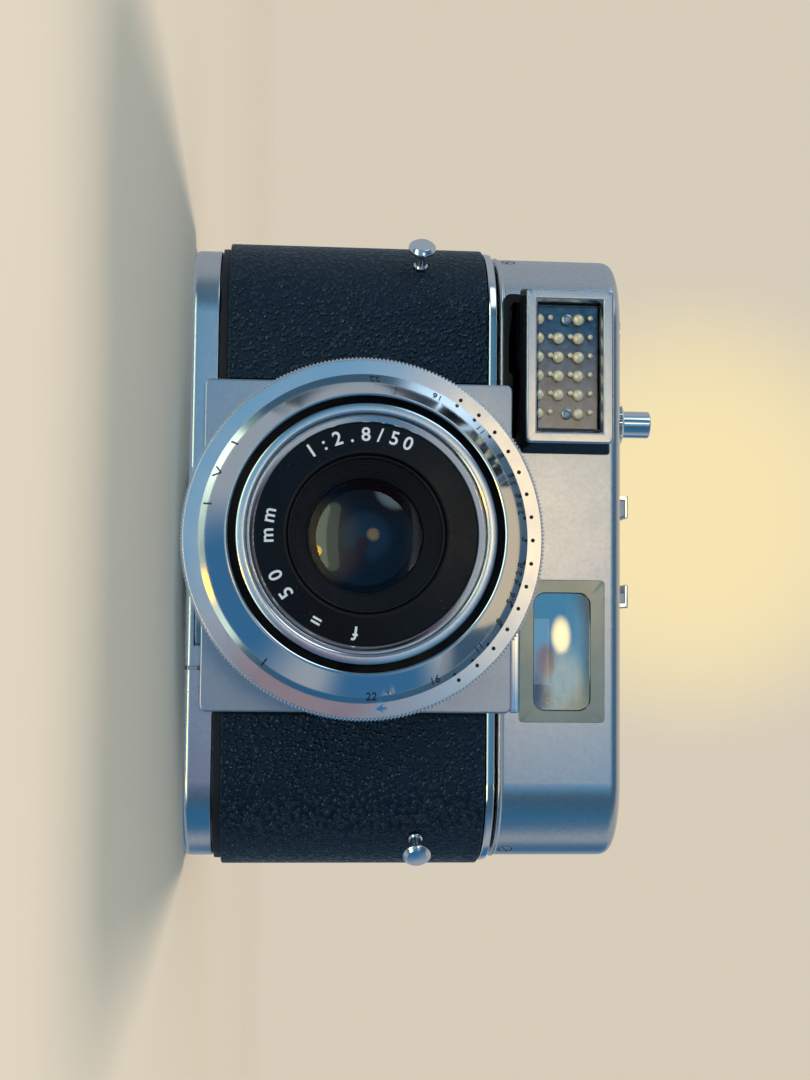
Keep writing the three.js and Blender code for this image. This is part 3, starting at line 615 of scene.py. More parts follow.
def top_cover():
    """The housing: a bead along its lower edge, a round crown, and openings for all that passes through."""
    xs, ys, (z0, z1) = span("top_housing")
    waist = (0, middle((z0, z1)))
    bead = [
        (6, z0), (0.1, z0), (-0.25, z0 + 0.25), (-0.25, z0 + 0.6), (0.05, z0 + 0.95), (0, z0 + 1.2), waist,
    ]
    crown = soften([waist, (0, z1), (6, z1)], 2.2, 8, closed=False)
    outer = body_plan(half(xs), half(ys))
    inner = body_plan(half(xs) - WALL, half(ys) - WALL)
    front, back, above = widened((ys[0], ys[0]), 5), widened((ys[1], ys[1]), 4), widened((z1, z1), 5)
    meter, fascia, eyepiece = span("meter_housing"), span("finder_fascia"), span("eyepiece_frame")
    window = span("meter_scale_window")
    solid = mesh_of("top_housing_shell", loft(outer, soften(bead, 0.2, 2, closed=False) + crown[1:]))
    mesh = carve(
        solid,
        loft(inner, [(0, z0 - 1), (0, z1 - WALL)]),
        box_part(widened(meter[0], -1.3), front, (60.7, meter[2][1] - 0.7)),
        through_y(rounded_box(fascia[0], fascia[2], 0.8), front),
        through_y(rounded_box(eyepiece[0], eyepiece[2], 2), back),
        bore("rewind_knob", 0.35, above),
        bore("release_button", 0.3, above, 48),
        bore("advance_shaft", 0.3, above, 48),
        box_part(widened(window[0], 0.1), widened(window[1], 0.1), above),
        *[on_end(disc((0, 0), 1.3, (-3, 3), 32), node, half(ys)) for node in SCREWS],
    )
    piece("top_cover", "top_housing", CHROME, mesh)


def polished_trim():
    """The bright strip under the housing, open where the lens plate stands."""
    xs, ys, (low, top) = span("trim_strip")
    plate = span("lens_mount_plate")
    profile = [(0.1, low), (0, low + 0.3), (0.15, top - 0.2), (0.5, top), (2.2, top), (2.2, low)]
    ring = mesh_of("trim", loft(body_plan(half(xs), half(ys)), soften(profile, 0.1), frame_like=True))
    gap = box_part(widened(plate[0], 0.4), (ys[0] - 3, plate[1][1] + 0.3), (low - 1, top + 1))
    piece("polished_trim", "trim_strip", BRIGHT, carve(ring, gap))


def base_and_flap():
    """The base and its flap, cut from one shell, with the hinge's lugs between them."""
    plate = span("base_plate")
    half_length, half_depth, (z0, z1) = -plate[0][0], half(plate[1]), plate[2]
    waist = (0, middle(plate[2]))
    low = soften([(5, z0), (0, z0), waist], 1.3, 8, closed=False)
    high = soften([waist, (0, z1), (5, z1)], 0.3, 8, closed=False)
    whole = loft(body_plan(half_length, half_depth), low + high[1:])
    hollow = loft(body_plan(half_length - WALL, half_depth - WALL), [(0, WALL), (0, z1 + 2)])
    wheel_low, wheel_high = span("frame_counter_wheel")[2]
    across, tall = (-30, 30), (-5, 20)
    base = carve(
        mesh_of("base_shell", whole),
        hollow,
        box_part((HINGE_X, 60), across, tall),
        bore("frame_counter_wheel", 0.35, (wheel_low - 0.25, wheel_high + 0.3)),
        bore("tripod_bush", 0.1, (-2, 4)),
    )
    lug_gaps = [box_part((20, 24.8), sorted((side * 9.4, side * 11.7)), (-5, 3.2)) for side in (-1, 1)]
    leaf = carve(
        mesh_of("flap_shell", whole),
        hollow,
        box_part((-90, span("bottom_flap")[0][0]), across, tall),
        *lug_gaps,
        disc(LATCH_CENTRE, 4.6, (-2, 1.1), 64),
    )
    lug_ys = [sorted((side * 9.75, side * 11.3)) for side in (-1, 1)]
    lugs = [block((HINGE_X - 1.5, 24.2), ys, (0.25, 2.2), 0.15, 0.6) for ys in lug_ys]
    piece("base_cover", "base_plate", CHROME, base)
    piece("base_hinge_lugs", "base_plate", CHROME, *lugs, stands=False)
    piece("flap_cover", "bottom_flap", CHROME, leaf)


def leather():
    """Three panels cut from one skin round the body, with soft edges at top and bottom."""
    xs, ys, (low, top) = span("leather_left")
    thick = 0.85
    profile = soften([(0, low), (0, top), (thick, top), (thick, low)], 0.35)
    skin = loft(body_plan(-xs[0], -ys[0], 56), profile, frame_like=True)
    tall = (0, 80)
    for side, node in (("left", "leather_left"), ("right", "leather_right"), ("rear", "door_leather")):
        (x0, x1), (y0, y1), _ = span(node)
        beside = (x1, 90) if side == "left" else (-90, x0)
        beyond = (-40, y0) if side == "rear" else (y1, 40)
        cutters = box_part(beside, (-40, 40), tall), box_part((-90, 90), beyond, tall)
        piece(f"leather_{side}_skin", node, LEATHER, carve(mesh_of(node, skin), *cutters))


def mount_plate():
    xs, (y0, y1), zs = span("lens_mount_plate")
    profile = soften([(8, y0), (0, y0), (0, y1), (8, y1)], 0.35, 4, closed=False)
    solid = mesh_of("mount_plate", loft(rounded_box(xs, zs, 1.2), profile, "Y"))
    hole = through_y(circle(LENS_AXIS, 96), (y0 - 2, y1 + 2), 16)
    piece("mount_plate", "lens_mount_plate", PLATE_CHROME, carve(solid, hole))


def plate_lip():
    """The bright raised edge of the housing beside the plate, from the meter to the plate's end."""
    plate, meter, fascia = span("lens_mount_plate"), span("meter_housing"), span("finder_fascia")
    front = span("top_housing")[1][0]
    xs, zs = (meter[0][1] + 0.2, plate[0][1]), (plate[2][1] + 0.15, fascia[2][0] - 0.1)
    lip = block(xs, (front - 0.9, front + 0.4), zs, 0.2, 0.3)
    piece("plate_lip", "top_housing", BRIGHT, lip, stands=False)


top_cover()
polished_trim()
base_and_flap()
leather()
refined("casting", "body_casting", CAST, 0.2)
mount_plate()
plate_lip()

# ------------------------------------------------------------------ lens
SHUTTER_R = half(span("shutter_housing")[0])
SPEED_R = half(span("shutter_speed_ring")[0])
SPEED_Y = span("shutter_speed_ring")[1]
APERTURE_R = half(span("aperture_ring")[0])
CONE_Y = span("depth_scale_ring")[1]
CONE_FRONT_R = 22.4
CONE_BACK_R = half(span("depth_scale_ring")[0])
BARREL_R = half(span("focusing_ring")[0])
NAME_R = half(span("name_ring")[0])
NAME_Y = span("name_ring")[1]
CELL_Y = span("front_cell")[1]
INNER_R = SHUTTER_R + 0.3
DOT_PITCH = 7.94
DOT_COUNT = 15
DOT_RING = 28.1
SYNC_CLOCK = 207


def round_lens(profile, sides=192, outline=None):
    """A ring about the lens axis, from a profile of (radius, y)."""
    return loft(outline or circle(LENS_AXIS, sides), profile, "Y", frame_like=True)


def lens_knurl(teeth, outer, depth, plain):
    return knurled(LENS_AXIS, teeth, outer, depth, plain)


def small_disc(radius, thickness=0.03):
    return through_y(circle((0, 0), 20), (-thickness, thickness), radius)


def tick(width, length, thickness=0.03):
    return block((-width / 2, width / 2), (-thickness, thickness), (-length / 2, length / 2), 0.01, 0.05)


def shutter_can():
    front, back = span("shutter_housing")[1]
    step = -17.9
    profile = [(11, back), (15.6, back), (15.6, step), (SHUTTER_R, step), (SHUTTER_R, front), (11, front)]
    piece("shutter_can", "shutter_housing", BLACK, round_lens(soften(profile, 0.25), 128))


def speed_ring():
    """The ring with two finely toothed rims and a waist between them, its dots and its arrow."""
    front, back = SPEED_Y
    waist = middle(SPEED_Y) + 0.8
    profile = [
        (INNER_R, front), (SPEED_R - 0.6, front), (SPEED_R - 0.5, front + 0.03), (SPEED_R, front + 0.35),
        (SPEED_R, waist - 0.6), (SPEED_R - 0.6, waist - 0.2), (SPEED_R - 0.6, waist + 0.2),
        (SPEED_R, waist + 0.6), (SPEED_R, back - 0.4), (SPEED_R - 0.45, back), (INNER_R, back),
    ]
    ring = round_lens(profile, outline=lens_knurl(288, SPEED_R, 0.25, SPEED_R - 0.5))
    piece("speed_ring", "shutter_speed_ring", RING_FACE, ring, sharp=30)
    start = -(DOT_COUNT - 1) / 2 * DOT_PITCH
    dots = [on_lens(small_disc(0.33), DOT_RING, start + i * DOT_PITCH, front) for i in range(DOT_COUNT)]
    piece("speed_ring_dots", "shutter_speed_ring", BLACK_INLAY, *dots, stands=False)
    arrow = [(0.95, 0), (-0.35, 0.75), (-0.1, 0.2), (-0.95, 0.2), (-0.95, -0.2), (-0.1, -0.2), (-0.35, -0.75)]
    mark = on_lens(prism(arrow, -0.03, 0.03), DOT_RING, 83.5, front)
    piece("speed_ring_mark", "shutter_speed_ring", BLUE_INLAY, mark, stands=False)


def sync_lever():
    """The lever's milled finger tab, and its arm round the shutter."""
    low, high = span("sync_lever")[1]
    inner, outer, reach = SHUTTER_R + 0.35, 27.6, 32.3
    half_width, teeth = 3.1, 9
    outline = [(-half_width, 26.2), (half_width, 26.2)]
    for i in range(2 * teeth + 1):
        x = half_width - half_width * i / teeth
        outline.append((x, reach - 0.35 * (i % 2) - 0.06 * x * x))
    turn = TO_LENS_AXIS @ Matrix.Rotation(math.radians(SYNC_CLOCK), 4, "Y")
    piece("sync_tab", "sync_lever", MILLED, move(prism(outline, low, high), turn))
    band = soften([(inner, low), (outer, low), (outer, high), (inner, high)], 0.2)
    ring = mesh_of("sync_arm", round_lens(band, outline=lens_knurl(60, outer, 0.0, 27)))
    cutters = box_part((0, 60), (-40, 0), (-40, 90)), box_part((-60, 60), (-40, 0), (AXIS_Z, 90))
    piece("sync_arm", "sync_lever", MILLED, carve(ring, *cutters), stands=False)


def aperture_grip():
    front, back = span("aperture_ring")[1]
    profile = [
        (INNER_R, front), (APERTURE_R - 0.5, front), (APERTURE_R, front + 0.4),
        (APERTURE_R, back - 0.4), (APERTURE_R - 0.5, back), (INNER_R, back),
    ]
    ring = round_lens(profile, outline=lens_knurl(150, APERTURE_R, 0.35, APERTURE_R - 0.5))
    piece("aperture_grip", "aperture_ring", RIM_METAL, ring, sharp=30)


F_NUMBERS = (2.8, 4, 5.6, 8, 11, 16, 22)
DEGREES_PER_STOP_NUMBER = 3.955
FIGURE_SIZE = 4.4
FIGURE_WIDTH = 0.42
CONE_FACE = ((CONE_FRONT_R + 0.1, CONE_Y[0] + 0.15), (CONE_BACK_R, CONE_Y[1] - 0.35))
CONE_LEAN = math.degrees(math.atan2(CONE_FACE[1][0] - CONE_FACE[0][0], CONE_FACE[1][1] - CONE_FACE[0][1]))


def cone_point(share, proud=0.03):
    """Radius and Y just outside the cone's face, from its front (0) to its back (1)."""
    (r0, y0), (r1, y1) = CONE_FACE
    lean = math.radians(CONE_LEAN)
    return r0 + share * (r1 - r0) + proud * math.cos(lean), y0 + share * (y1 - y0) - proud * math.sin(lean)


def depth_cone():
    """The cone, with pairs of aperture numbers, a dot between them and distance marks opposite."""
    front, back = CONE_Y
    rim = [(CONE_FRONT_R - 0.1, front), (22.0, front + 0.1)]
    profile = soften([(22.0, back), (CONE_BACK_R, back), CONE_FACE[1], CONE_FACE[0], *rim], 0.08, 2)
    piece("depth_cone", "depth_scale_ring", CONE_METAL, round_lens(profile, 256), sharp=30)
    radius, y = cone_point(0.76)
    narrow = Matrix.Diagonal((FIGURE_WIDTH, 1, 1, 1))
    marks = []
    for number in F_NUMBERS:
        for side in (-1, 1):
            figure = move(glyph(f"{number:g}", FIGURE_SIZE), narrow)
            marks.append((figure, side * number * DEGREES_PER_STOP_NUMBER))
    marks.append((small_disc(0.4), 0))
    marks += [(tick(0.3, 3.2), clock) for clock in (-169, -145, 128)]
    for side in (-1, 1):
        slope = Matrix.Translation((side * 0.4, 0, 0)) @ Matrix.Rotation(side * -0.27, 4, "Y")
        marks.append((move(tick(0.25, 3), slope), -157))
    placed = [on_lens(part, radius, clock, y, 90 - CONE_LEAN, inward=True) for part, clock in marks]
    piece("cone_figures", "depth_scale_ring", BLACK_INLAY, *placed, stands=False, flat=False)


def barrel():
    """The focusing ring: a toothed grip behind a smooth rim with a fine groove."""
    front, back = span("focusing_ring")[1]
    smooth = BARREL_R - 0.15
    profile = [
        (16.1, back), (smooth, back), (BARREL_R, back - 0.5), (BARREL_R, front + 3.6), (smooth, front + 3.3),
        (smooth, front + 0.35), (smooth - 0.12, front + 0.1), (smooth - 0.35, front),
        (smooth - 1.2, front + 0.05), (smooth - 1.3, front + 0.2), (smooth - 1.42, front + 0.05),
        (smooth - 1.6, front + 0.15), (19.0, front + 0.9), (18.95, front + 2.5), (16.1, front + 2.5),
    ]
    ring = round_lens(profile, outline=lens_knurl(120, BARREL_R, 0.3, BARREL_R - 0.1))
    piece("barrel", "focusing_ring", RIM_METAL, ring, sharp=30)


# The name plate's face falls back a little from its inner radius to its outer one.
NAME_FLAT = (13.2, 17.6)
NAME_FALL = 0.3
LETTER_RING = 15.75
LETTER_SIZE = 3.1


def arc_text(text, first, last):
    """The text's characters spread evenly from one clock angle to the other, tops outward."""
    inner, outer = NAME_FLAT
    y = NAME_Y[0] + NAME_FALL * (LETTER_RING - inner) / (outer - inner)
    shown = [(i, c) for i, c in enumerate(text) if c != " "]
    step = (last - first) / (len(text) - 1)
    lean = math.degrees(math.atan2(NAME_FALL, outer - inner))
    return [on_lens(glyph(c, LETTER_SIZE, 0.016), LETTER_RING, first + i * step, y, lean) for i, c in shown]


def name_ring():
    """The black plate with its generic figures, and the bright ring that holds it."""
    front, back = NAME_Y
    inner, outer = NAME_FLAT
    edge = outer + 0.15
    face = [
        (12.8, front + 0.9), (12.8, front), (inner, front), (outer, front + NAME_FALL),
        (edge, front + 0.4), (edge, front + 1.2), (15.9, front + 1.2),
    ]
    piece("name_plate", "name_ring", GLOSS_BLACK, round_lens(soften(face, 0.08, 2)), sharp=30)
    rim = [
        (edge, back), (edge, front + 0.2), (edge + 0.15, front), (NAME_R - 0.1, front - 0.75),
        (NAME_R, front - 0.7), (NAME_R, back),
    ]
    piece("name_bezel", "name_ring", BRIGHT, round_lens(soften(rim, 0.08, 3)), sharp=30, stands=False)
    letters = arc_text("1:2.8/50", -124.6, -66.2) + arc_text("f = 50 mm", 96, 190)
    piece("name_figures", "name_ring", WHITE_INLAY, *letters, stands=False, flat=False)


def front_cell():
    """The black cell behind the name ring, stepped down to the glass with fine light-trap ridges."""
    front, back = CELL_Y
    steps, top, bottom, depth = 9, 12.7, 9.6, 2.9
    profile = [(9.5, back), (half(span("front_cell")[0]), back)]
    profile += [(half(span("front_cell")[0]), front + 0.7), (top + 0.15, front)]
    for i in range(steps):
        r0, r1 = (top - (top - bottom) * k / steps for k in (i, i + 1))
        y0, y1 = (front + depth * k / steps for k in (i, i + 1))
        profile += [(r0, y0), (r0 - 0.08, y1 - 0.05), (r1 + 0.04, y1)]
    piece("lens_cell", "front_cell", BLACK, round_lens(profile), sharp=25)
    low, high = front - 0.35, front + 0.3
    ring = round_lens(soften([(12.55, low), (12.15, low), (12.15, high), (12.55, high)], 0.1))
    piece("retaining_ring", "front_cell", GLOSS_BLACK, ring, stands=False)


def dome(radius, y_edge, rise, y_back, back_rise=0.0, steps=36):
    """A lens element: a domed front, a rim and a back that may be hollow."""

    def curved(y, height):
        curve = (radius**2 + height**2) / (2 * height)
        radii = [max(radius * i / steps, 0.05) for i in range(steps + 1)]
        return [(r, y - (math.sqrt(curve**2 - r**2) - (curve - height))) for r in radii]

    back = curved(y_back, back_rise)[::-1] if back_rise else [(radius, y_back), (0.05, y_back)]
    return loft(circle(LENS_AXIS), curved(y_edge, rise) + back, "Y")


def glasses():
    """The three elements, and a matt sleeve behind the first, so that no light leaks past them."""
    front_r, rear_r = (half(span(node)[0]) for node in ("front_element", "rear_element"))
    front = dome(front_r, -42.2, 2.1, -40.8, 0.6)
    deep = dome(8.4, -36.5, 2.6, -35.2)
    rear = dome(rear_r, -13.2, 1.2, -11.5)
    piece("front_glass", "front_element", COATED, front, flat=False)
    # Painted shade: the middle element is opaque and near black instead of clear glass.
    piece("middle_glass", "rear_element", SHADED_VIOLET_GLASS, deep, stands=False, flat=False)
    piece("rear_glass", "rear_element", COATED, rear, flat=False)
    sleeve = [(9.4, -44), (9.55, -44), (9.55, -38.9), (10.5, -38.3), (10.5, -20.5), (8.8, -20.5), (8.8, -36)]
    piece("inner_sleeve", "rear_cell", MATT, round_lens(sleeve, 96), stands=False)


def iris():
    """Ten overlapping leaves round an eight-millimetre opening."""
    leaves, steps, sweep = 10, 12, 100
    y = middle(span("iris_blades")[1])
    angles = [math.radians(-40 + sweep * k / steps) for k in range(steps + 1)]
    back = [math.radians(60 - sweep * k / steps) for k in range(steps + 1)]
    outline = [(10.4 * math.sin(a), 10.4 * math.cos(a)) for a in angles]
    outline += [(0.8 + 4.6 * math.sin(a), 1.1 + 4.6 * math.cos(a)) for a in back]
    parts = []
    for i in range(leaves):
        points, faces = prism(outline, y - 0.04 + 0.02 * i, y + 0.04 + 0.02 * i)
        sloped = [(a, h - b * 0.01, b) for a, h, b in points]
        turn = Matrix.Rotation(2 * math.pi * i / leaves, 4, "Y")
        parts.append(move((sloped, faces), TO_LENS_AXIS @ turn))
    piece("iris_leaves", "iris_blades", BLUED, *parts, flat=False)


for build in (
    shutter_can, speed_ring, sync_lever, aperture_grip, depth_cone,
    barrel, name_ring, front_cell, glasses, iris,
):
    build()

# ------------------------------------------------------------------ meter and finder
BUBBLE_FACE = span("meter_bezel")[1][0] + 2.3
BUBBLE_ROWS = 6
ROW_PITCH = 3.45
COLUMN_PITCH = 3.66
LARGE_BUBBLE = (1.08, 0.8)
SMALL_BUBBLE = (0.5, 0.4)


def meter_frame():
    """A raised frame: a flat satin rim, a bright slope inside it and a straight wall down to the bubbles."""
    xs, (front, back), zs = span("meter_bezel")
    profile = [(0, back), (0, front), (1.85, front), (2.3, front + 0.8), (2.3, back), (1.2, back)]
    part = loft(rounded_box(xs, zs, 0.9), soften(profile, 0.4, 5), "Y", frame_like=True)
    piece("meter_bezel_frame", "meter_bezel", BEZEL, part)


def meter_case():
    """The black case behind the bezel, with drafted sides, and its thin foot beside the lens plate."""
    xs, ys, zs = span("meter_housing")
    window, top = span("meter_window"), span("top_housing")
    shelf = span("meter_bezel")[2][0]
    wall = loft(body_plan(half(top[0]) - 0.4, half(top[1]) - 0.4), [(0, 40), (0, 100)])
    draft, case_back = 1.3, top[1][0] + 0.3
    sides = rounded_box(widened(xs, draft), (shelf - 0.2, zs[1] + 0.6), 0.7, 6)
    outside = loft(sides, [(8, ys[0]), (draft, ys[0]), (0, case_back), (8, case_back)], "Y")
    recess = rounded_box(widened(window[0], 0.1), widened(window[2], 0.1), 0.3)
    recess_bar = through_y(recess, (ys[0] - 2, top[1][0] + 3))
    piece("meter_case", "meter_housing", SLATE, carve(mesh_of("meter_case", outside), wall, recess_bar))
    front = span("lens_mount_plate")[1][1] + 0.3
    foot_outline = rounded_box((xs[0], xs[1] + 0.3), (zs[0], shelf + 0.5), 1.4)
    profile = soften([(3, front), (0, front), (0, -10), (3, -10)], 0.3, closed=False)
    foot = mesh_of("meter_foot", loft(foot_outline, profile, "Y"))
    piece("meter_foot", "meter_housing", BLACK, carve(foot, wall), stands=False)


def meter_window():
    """The bubble glass: three large columns and three small ones, gaps at the rivets, bright cups behind."""
    xs, _, zs = span("meter_window")
    first = zs[0] + 0.35
    end = (BUBBLE_ROWS - 1) / 2
    places = []
    for column in range(3):
        large_z = first + column * COLUMN_PITCH
        for row in range(BUBBLE_ROWS):
            x = middle(xs) + (row - end) * ROW_PITCH
            if not (column == 1 and row in (0, BUBBLE_ROWS - 1)):
                places.append((x, large_z, *LARGE_BUBBLE))
                places.append((x - 0.35, large_z + COLUMN_PITCH * 0.6, *SMALL_BUBBLE))
    piece(
        "bubble_plate", "meter_window", CLEAR,
        block(xs, (BUBBLE_FACE, BUBBLE_FACE + 0.6), zs, 0.05, 0.2), flat=False,
    )
    bubbles = [bubble(*p) for p in places if p[1] - p[2] > zs[0] - 0.9]
    piece("bubbles", "meter_window", PAINTED_GLINT_GLASS, *bubbles, stands=False, flat=False)
    y = BUBBLE_FACE + 0.75
    cups = [
        loft(circle((x, z), 20), [(radius * 0.8, y + 0.08), (radius * 0.8, y), (radius * 0.3, y + 0.05)], "Y")
        for x, z, radius, _ in places
    ]
    piece("meter_cups", "selenium_cell", BRIGHT, *cups, stands=False)
    head = [(1.0, 0.1), (0.95, -0.2), (0.62, -0.32), (0.5, -0.1), (0.05, -0.05)]
    profile = [(r, BUBBLE_FACE + rise) for r, rise in head]
    centres = [(middle(xs) + side * end * ROW_PITCH, first + 1.42 * COLUMN_PITCH) for side in (-1, 1)]
    rivets = [loft(circle(centre, 32), profile, "Y") for centre in centres]
    piece("meter_rivets", "meter_window", STEEL, *rivets, stands=False)


def bubble(x, z, radius, rise, steps=6):
    """A round bump on the window plate."""
    turns = [math.pi / 2 * k / steps for k in range(steps + 1)]
    profile = [(max(radius * math.cos(t), 0.03), BUBBLE_FACE + 0.05 - rise * math.sin(t)) for t in turns]
    return loft(circle((x, z), 24), profile, "Y")


def finder_frame():
    """The masked glass front with the finder lens's opening."""
    xs, (front, back), zs = span("finder_fascia")
    lens_xs, _, lens_zs = span("finder_front_lens")
    profile = soften([(6, front), (0, front), (0, back), (6, back)], 0.2, closed=False)
    solid = mesh_of("finder_frame", loft(rounded_box(xs, zs, 0.8), profile, "Y"))
    opening = rounded_box(widened(lens_xs, 0.15), widened(lens_zs, 0.15), 2.2, 10)
    piece("finder_frame", "finder_fascia", MASKED, carve(solid, through_y(opening, (front - 1, back + 1))))


def divided(outline, step):
    """The outline with points added, so that no side is longer than the step."""
    out = []
    for (x0, z0), (x1, z1) in zip(outline, outline[1:] + outline[:1], strict=True):
        count = max(math.ceil(math.hypot(x1 - x0, z1 - z0) / step), 1)
        out += [(x0 + (x1 - x0) * i / count, z0 + (z1 - z0) * i / count) for i in range(count)]
    return out


def pillow(xs, zs, front, bend, back, corner, rings=12):
    """A lens with a round-cornered outline whose front bends back, more steeply across Z than along X."""
    edge = divided(rounded_box(xs, zs, corner, 10)(0), 0.4)
    points = []
    for k in range(rings + 1):
        share = max(1 - k / rings, 0.01)
        for x, z in edge:
            dx, dz = (x - middle(xs)) * share, (z - middle(zs)) * share
            points.append((middle(xs) + dx, front + bend[0] * dx * dx + bend[1] * dz * dz, middle(zs) + dz))
    n = len(edge)
    last = (rings + 1) * n
    points += [(x, back, z) for x, z in edge]
    faces = [tuple(range(rings * n, last)), tuple(range(last, last + n))]
    for a in range(0, rings * n, n):
        faces += [(a + i, a + (i + 1) % n, a + n + (i + 1) % n, a + n + i) for i in range(n)]
    faces += [(i, (i + 1) % n, last + (i + 1) % n, last + i) for i in range(n)]
    return points, faces


def finder_tube_and_glass():
    """The finder's lens, the dark tube behind it, and the eyepiece."""
    xs, ys, zs = span("finder_front_lens")
    glass = pillow(xs, zs, ys[0], (0.007, 0.014), ys[1], 2.1)
    piece("finder_glass", "finder_front_lens", MIRROR_GLASS, glass)
    xs, ys, zs = span("finder_tube")
    profile = [(0, ys[0]), (0, ys[1]), (0.9, ys[1]), (0.9, ys[0])]
    walls = loft(rounded_box(xs, zs, 0.3, 2), profile, "Y", frame_like=True)
    piece("finder_walls", "finder_tube", MATT, walls)
    xs, (front, back), zs = span("eyepiece_frame")
    profile = [(0, front), (2.1, front), (2.1, back - 0.9), (1.2, back), (0.4, back), (0, back - 0.4)]
    ring = loft(rounded_box(xs, zs, 2), soften(profile, 0.15), "Y", frame_like=True)
    piece("eyepiece_ring", "eyepiece_frame", BLACK, ring)
    xs, ys, zs = span("eyepiece_lens")
    glass = pillow(xs, zs, ys[1], (-0.004, -0.01), ys[0], 0.9)
    piece("eyepiece_glass", "eyepiece_lens", CLEAR, glass)


meter_frame()
meter_case()
meter_window()
refined("cell_plate", "selenium_cell", SELENIUM, 0.1)
finder_frame()
finder_tube_and_glass()


# ------------------------------------------------------------------ controls and fittings
def about(node, sides=96):
    """A circle about a node's upright axis."""
    xs, ys, _ = span(node)
    return circle((middle(xs), middle(ys)), sides)


def knurled_about(node, teeth, depth):
    xs, ys, _ = span(node)
    return knurled((middle(xs), middle(ys)), teeth, half(xs), depth, half(xs) - 0.3)


def release():
    """The button with its cable socket, and the collar round it."""
    xs, _, (low, top) = span("release_button")
    r = half(xs)
    socket = [(1.4, top), (0.95, top - 0.6), (0.85, top - 3), (0.05, top - 3)]
    profile = [(0.05, low), (r, low), (r, top), *socket]
    button = loft(about("release_button"), soften(profile, 0.3, 4, closed=False))
    piece("release_button_body", "release_button", BRIGHT, button)
    xs, _, (low, top) = span("release_collar")
    outer, inner = half(xs), r + 0.15
    profile = [
        (inner, low), (outer, low), (outer, top - 0.45), (outer - 0.4, top - 0.1), (outer - 0.6, top),
        (inner + 0.3, top), (inner, top - 0.3),
    ]
    collar = loft(knurled_about("release_collar", 48, 0.2), profile, frame_like=True)
    piece("release_collar_ring", "release_collar", BRIGHT, collar)


def lever_cap():
    """The screwed cap on the advance lever, with two holes for a pin wrench."""
    xs, ys, (low, top) = span("advance_cap")
    profile = soften([(0.05, low), (half(xs), low), (half(xs), top), (0.05, top)], 0.2, closed=False)
    places = [(middle(xs) + side * 2.2, middle(ys)) for side in (-1, 1)]
    holes = [disc(place, 0.45, (top - 0.3, top + 1), 24) for place in places]
    solid = mesh_of("lever_cap", loft(about("advance_cap"), profile))
    piece("lever_cap", "advance_cap", MILLED, carve(solid, *holes))


def rewind_knob():
    xs, _, (low, top) = span("rewind_knob")
    r = half(xs)
    profile = [
        (0.05, low), (r - 0.5, low), (r, low + 0.5), (r, top - 0.7), (r - 0.35, top - 0.15), (r - 0.8, top),
        (r - 2.4, top), (r - 2.7, top - 0.35), (r - 3.2, top - 0.45), (r - 5.4, top - 0.3),
        (r - 5.7, top - 0.1), (0.05, top - 0.1),
    ]
    knob = loft(knurled_about("rewind_knob", 84, 0.35), profile)
    piece("rewind_knob_body", "rewind_knob", KNOB_METAL, knob, sharp=30)


def counter_wheel():
    xs, _, (low, high) = span("frame_counter_wheel")
    r = half(xs)
    profile = [(0.6, low), (r - 0.2, low), (r, low + 0.25), (r, high - 0.25), (r - 0.2, high), (0.6, high)]
    wheel = loft(knurled_about("frame_counter_wheel", 90, 0.3), profile, frame_like=True)
    piece("counter_wheel", "frame_counter_wheel", MILLED, wheel)


def tripod_thread():
    """A steel bush with a quarter-inch thread."""
    xs, _, (low, high) = span("tripod_bush")
    pitch, crest, root = 1.27, 2.75, 3.25
    r = half(xs)
    profile = [(root, low), (root + 0.4, low), (r - 0.2, low), (r, low + 0.2), (r, high)]
    for i in range(round((high - low) / pitch)):
        profile += [(crest, high - i * pitch), (root, high - (i + 0.5) * pitch)]
    piece("tripod_thread", "tripod_bush", STEEL, loft(about("tripod_bush"), profile, frame_like=True))


def strap_lug(node):
    """A turned stud with a narrow neck and a domed head."""
    neck = [(0.05, 0.3), (1.3, 0.3), (1.3, 0.6), (1, 0.9), (0.8, 2.5)]
    head = [(2.3, 3.9), (2.5, 4.2), (2.5, 4.6), (1.8, 5.2), (0.05, 5.3)]
    stud = loft(circle((0, 0), 64), soften(neck + head, 0.2, 3, closed=False))
    piece(node + "_stud", node, BRIGHT, on_end(stud, node, -span("leather_right")[1][0] - 0.15))


def end_screw(node):
    """A slotted cheese-head screw."""
    corners = [(0.05, -3), (0.8, -3), (0.8, -0.7), (1.1, -0.7), (1.1, 0), (0.05, 0.1)]
    profile = soften(corners, 0.12, closed=False)
    radius = half(span("top_housing")[1])
    slot = loft(rounded_box((-0.16, 0.16), (-2, 2), 0.05, 1), [(0, -0.25), (0, 1)])
    head = mesh_of(node + "_head", on_end(loft(circle((0, 0), 40), profile), node, radius))
    piece(node + "_head", node, STEEL, carve(head, on_end(slot, node, radius)), flat=False)


release()
refined("advance_lever_arm", "advance_lever", BRIGHT, 0.4)
refined("advance_shaft_body", "advance_shaft", STEEL)
lever_cap()
rewind_knob()
counter_wheel()
tripod_thread()
for lug in ("strap_lug_left", "strap_lug_right"):
    strap_lug(lug)
for screw in SCREWS:
    end_screw(screw)

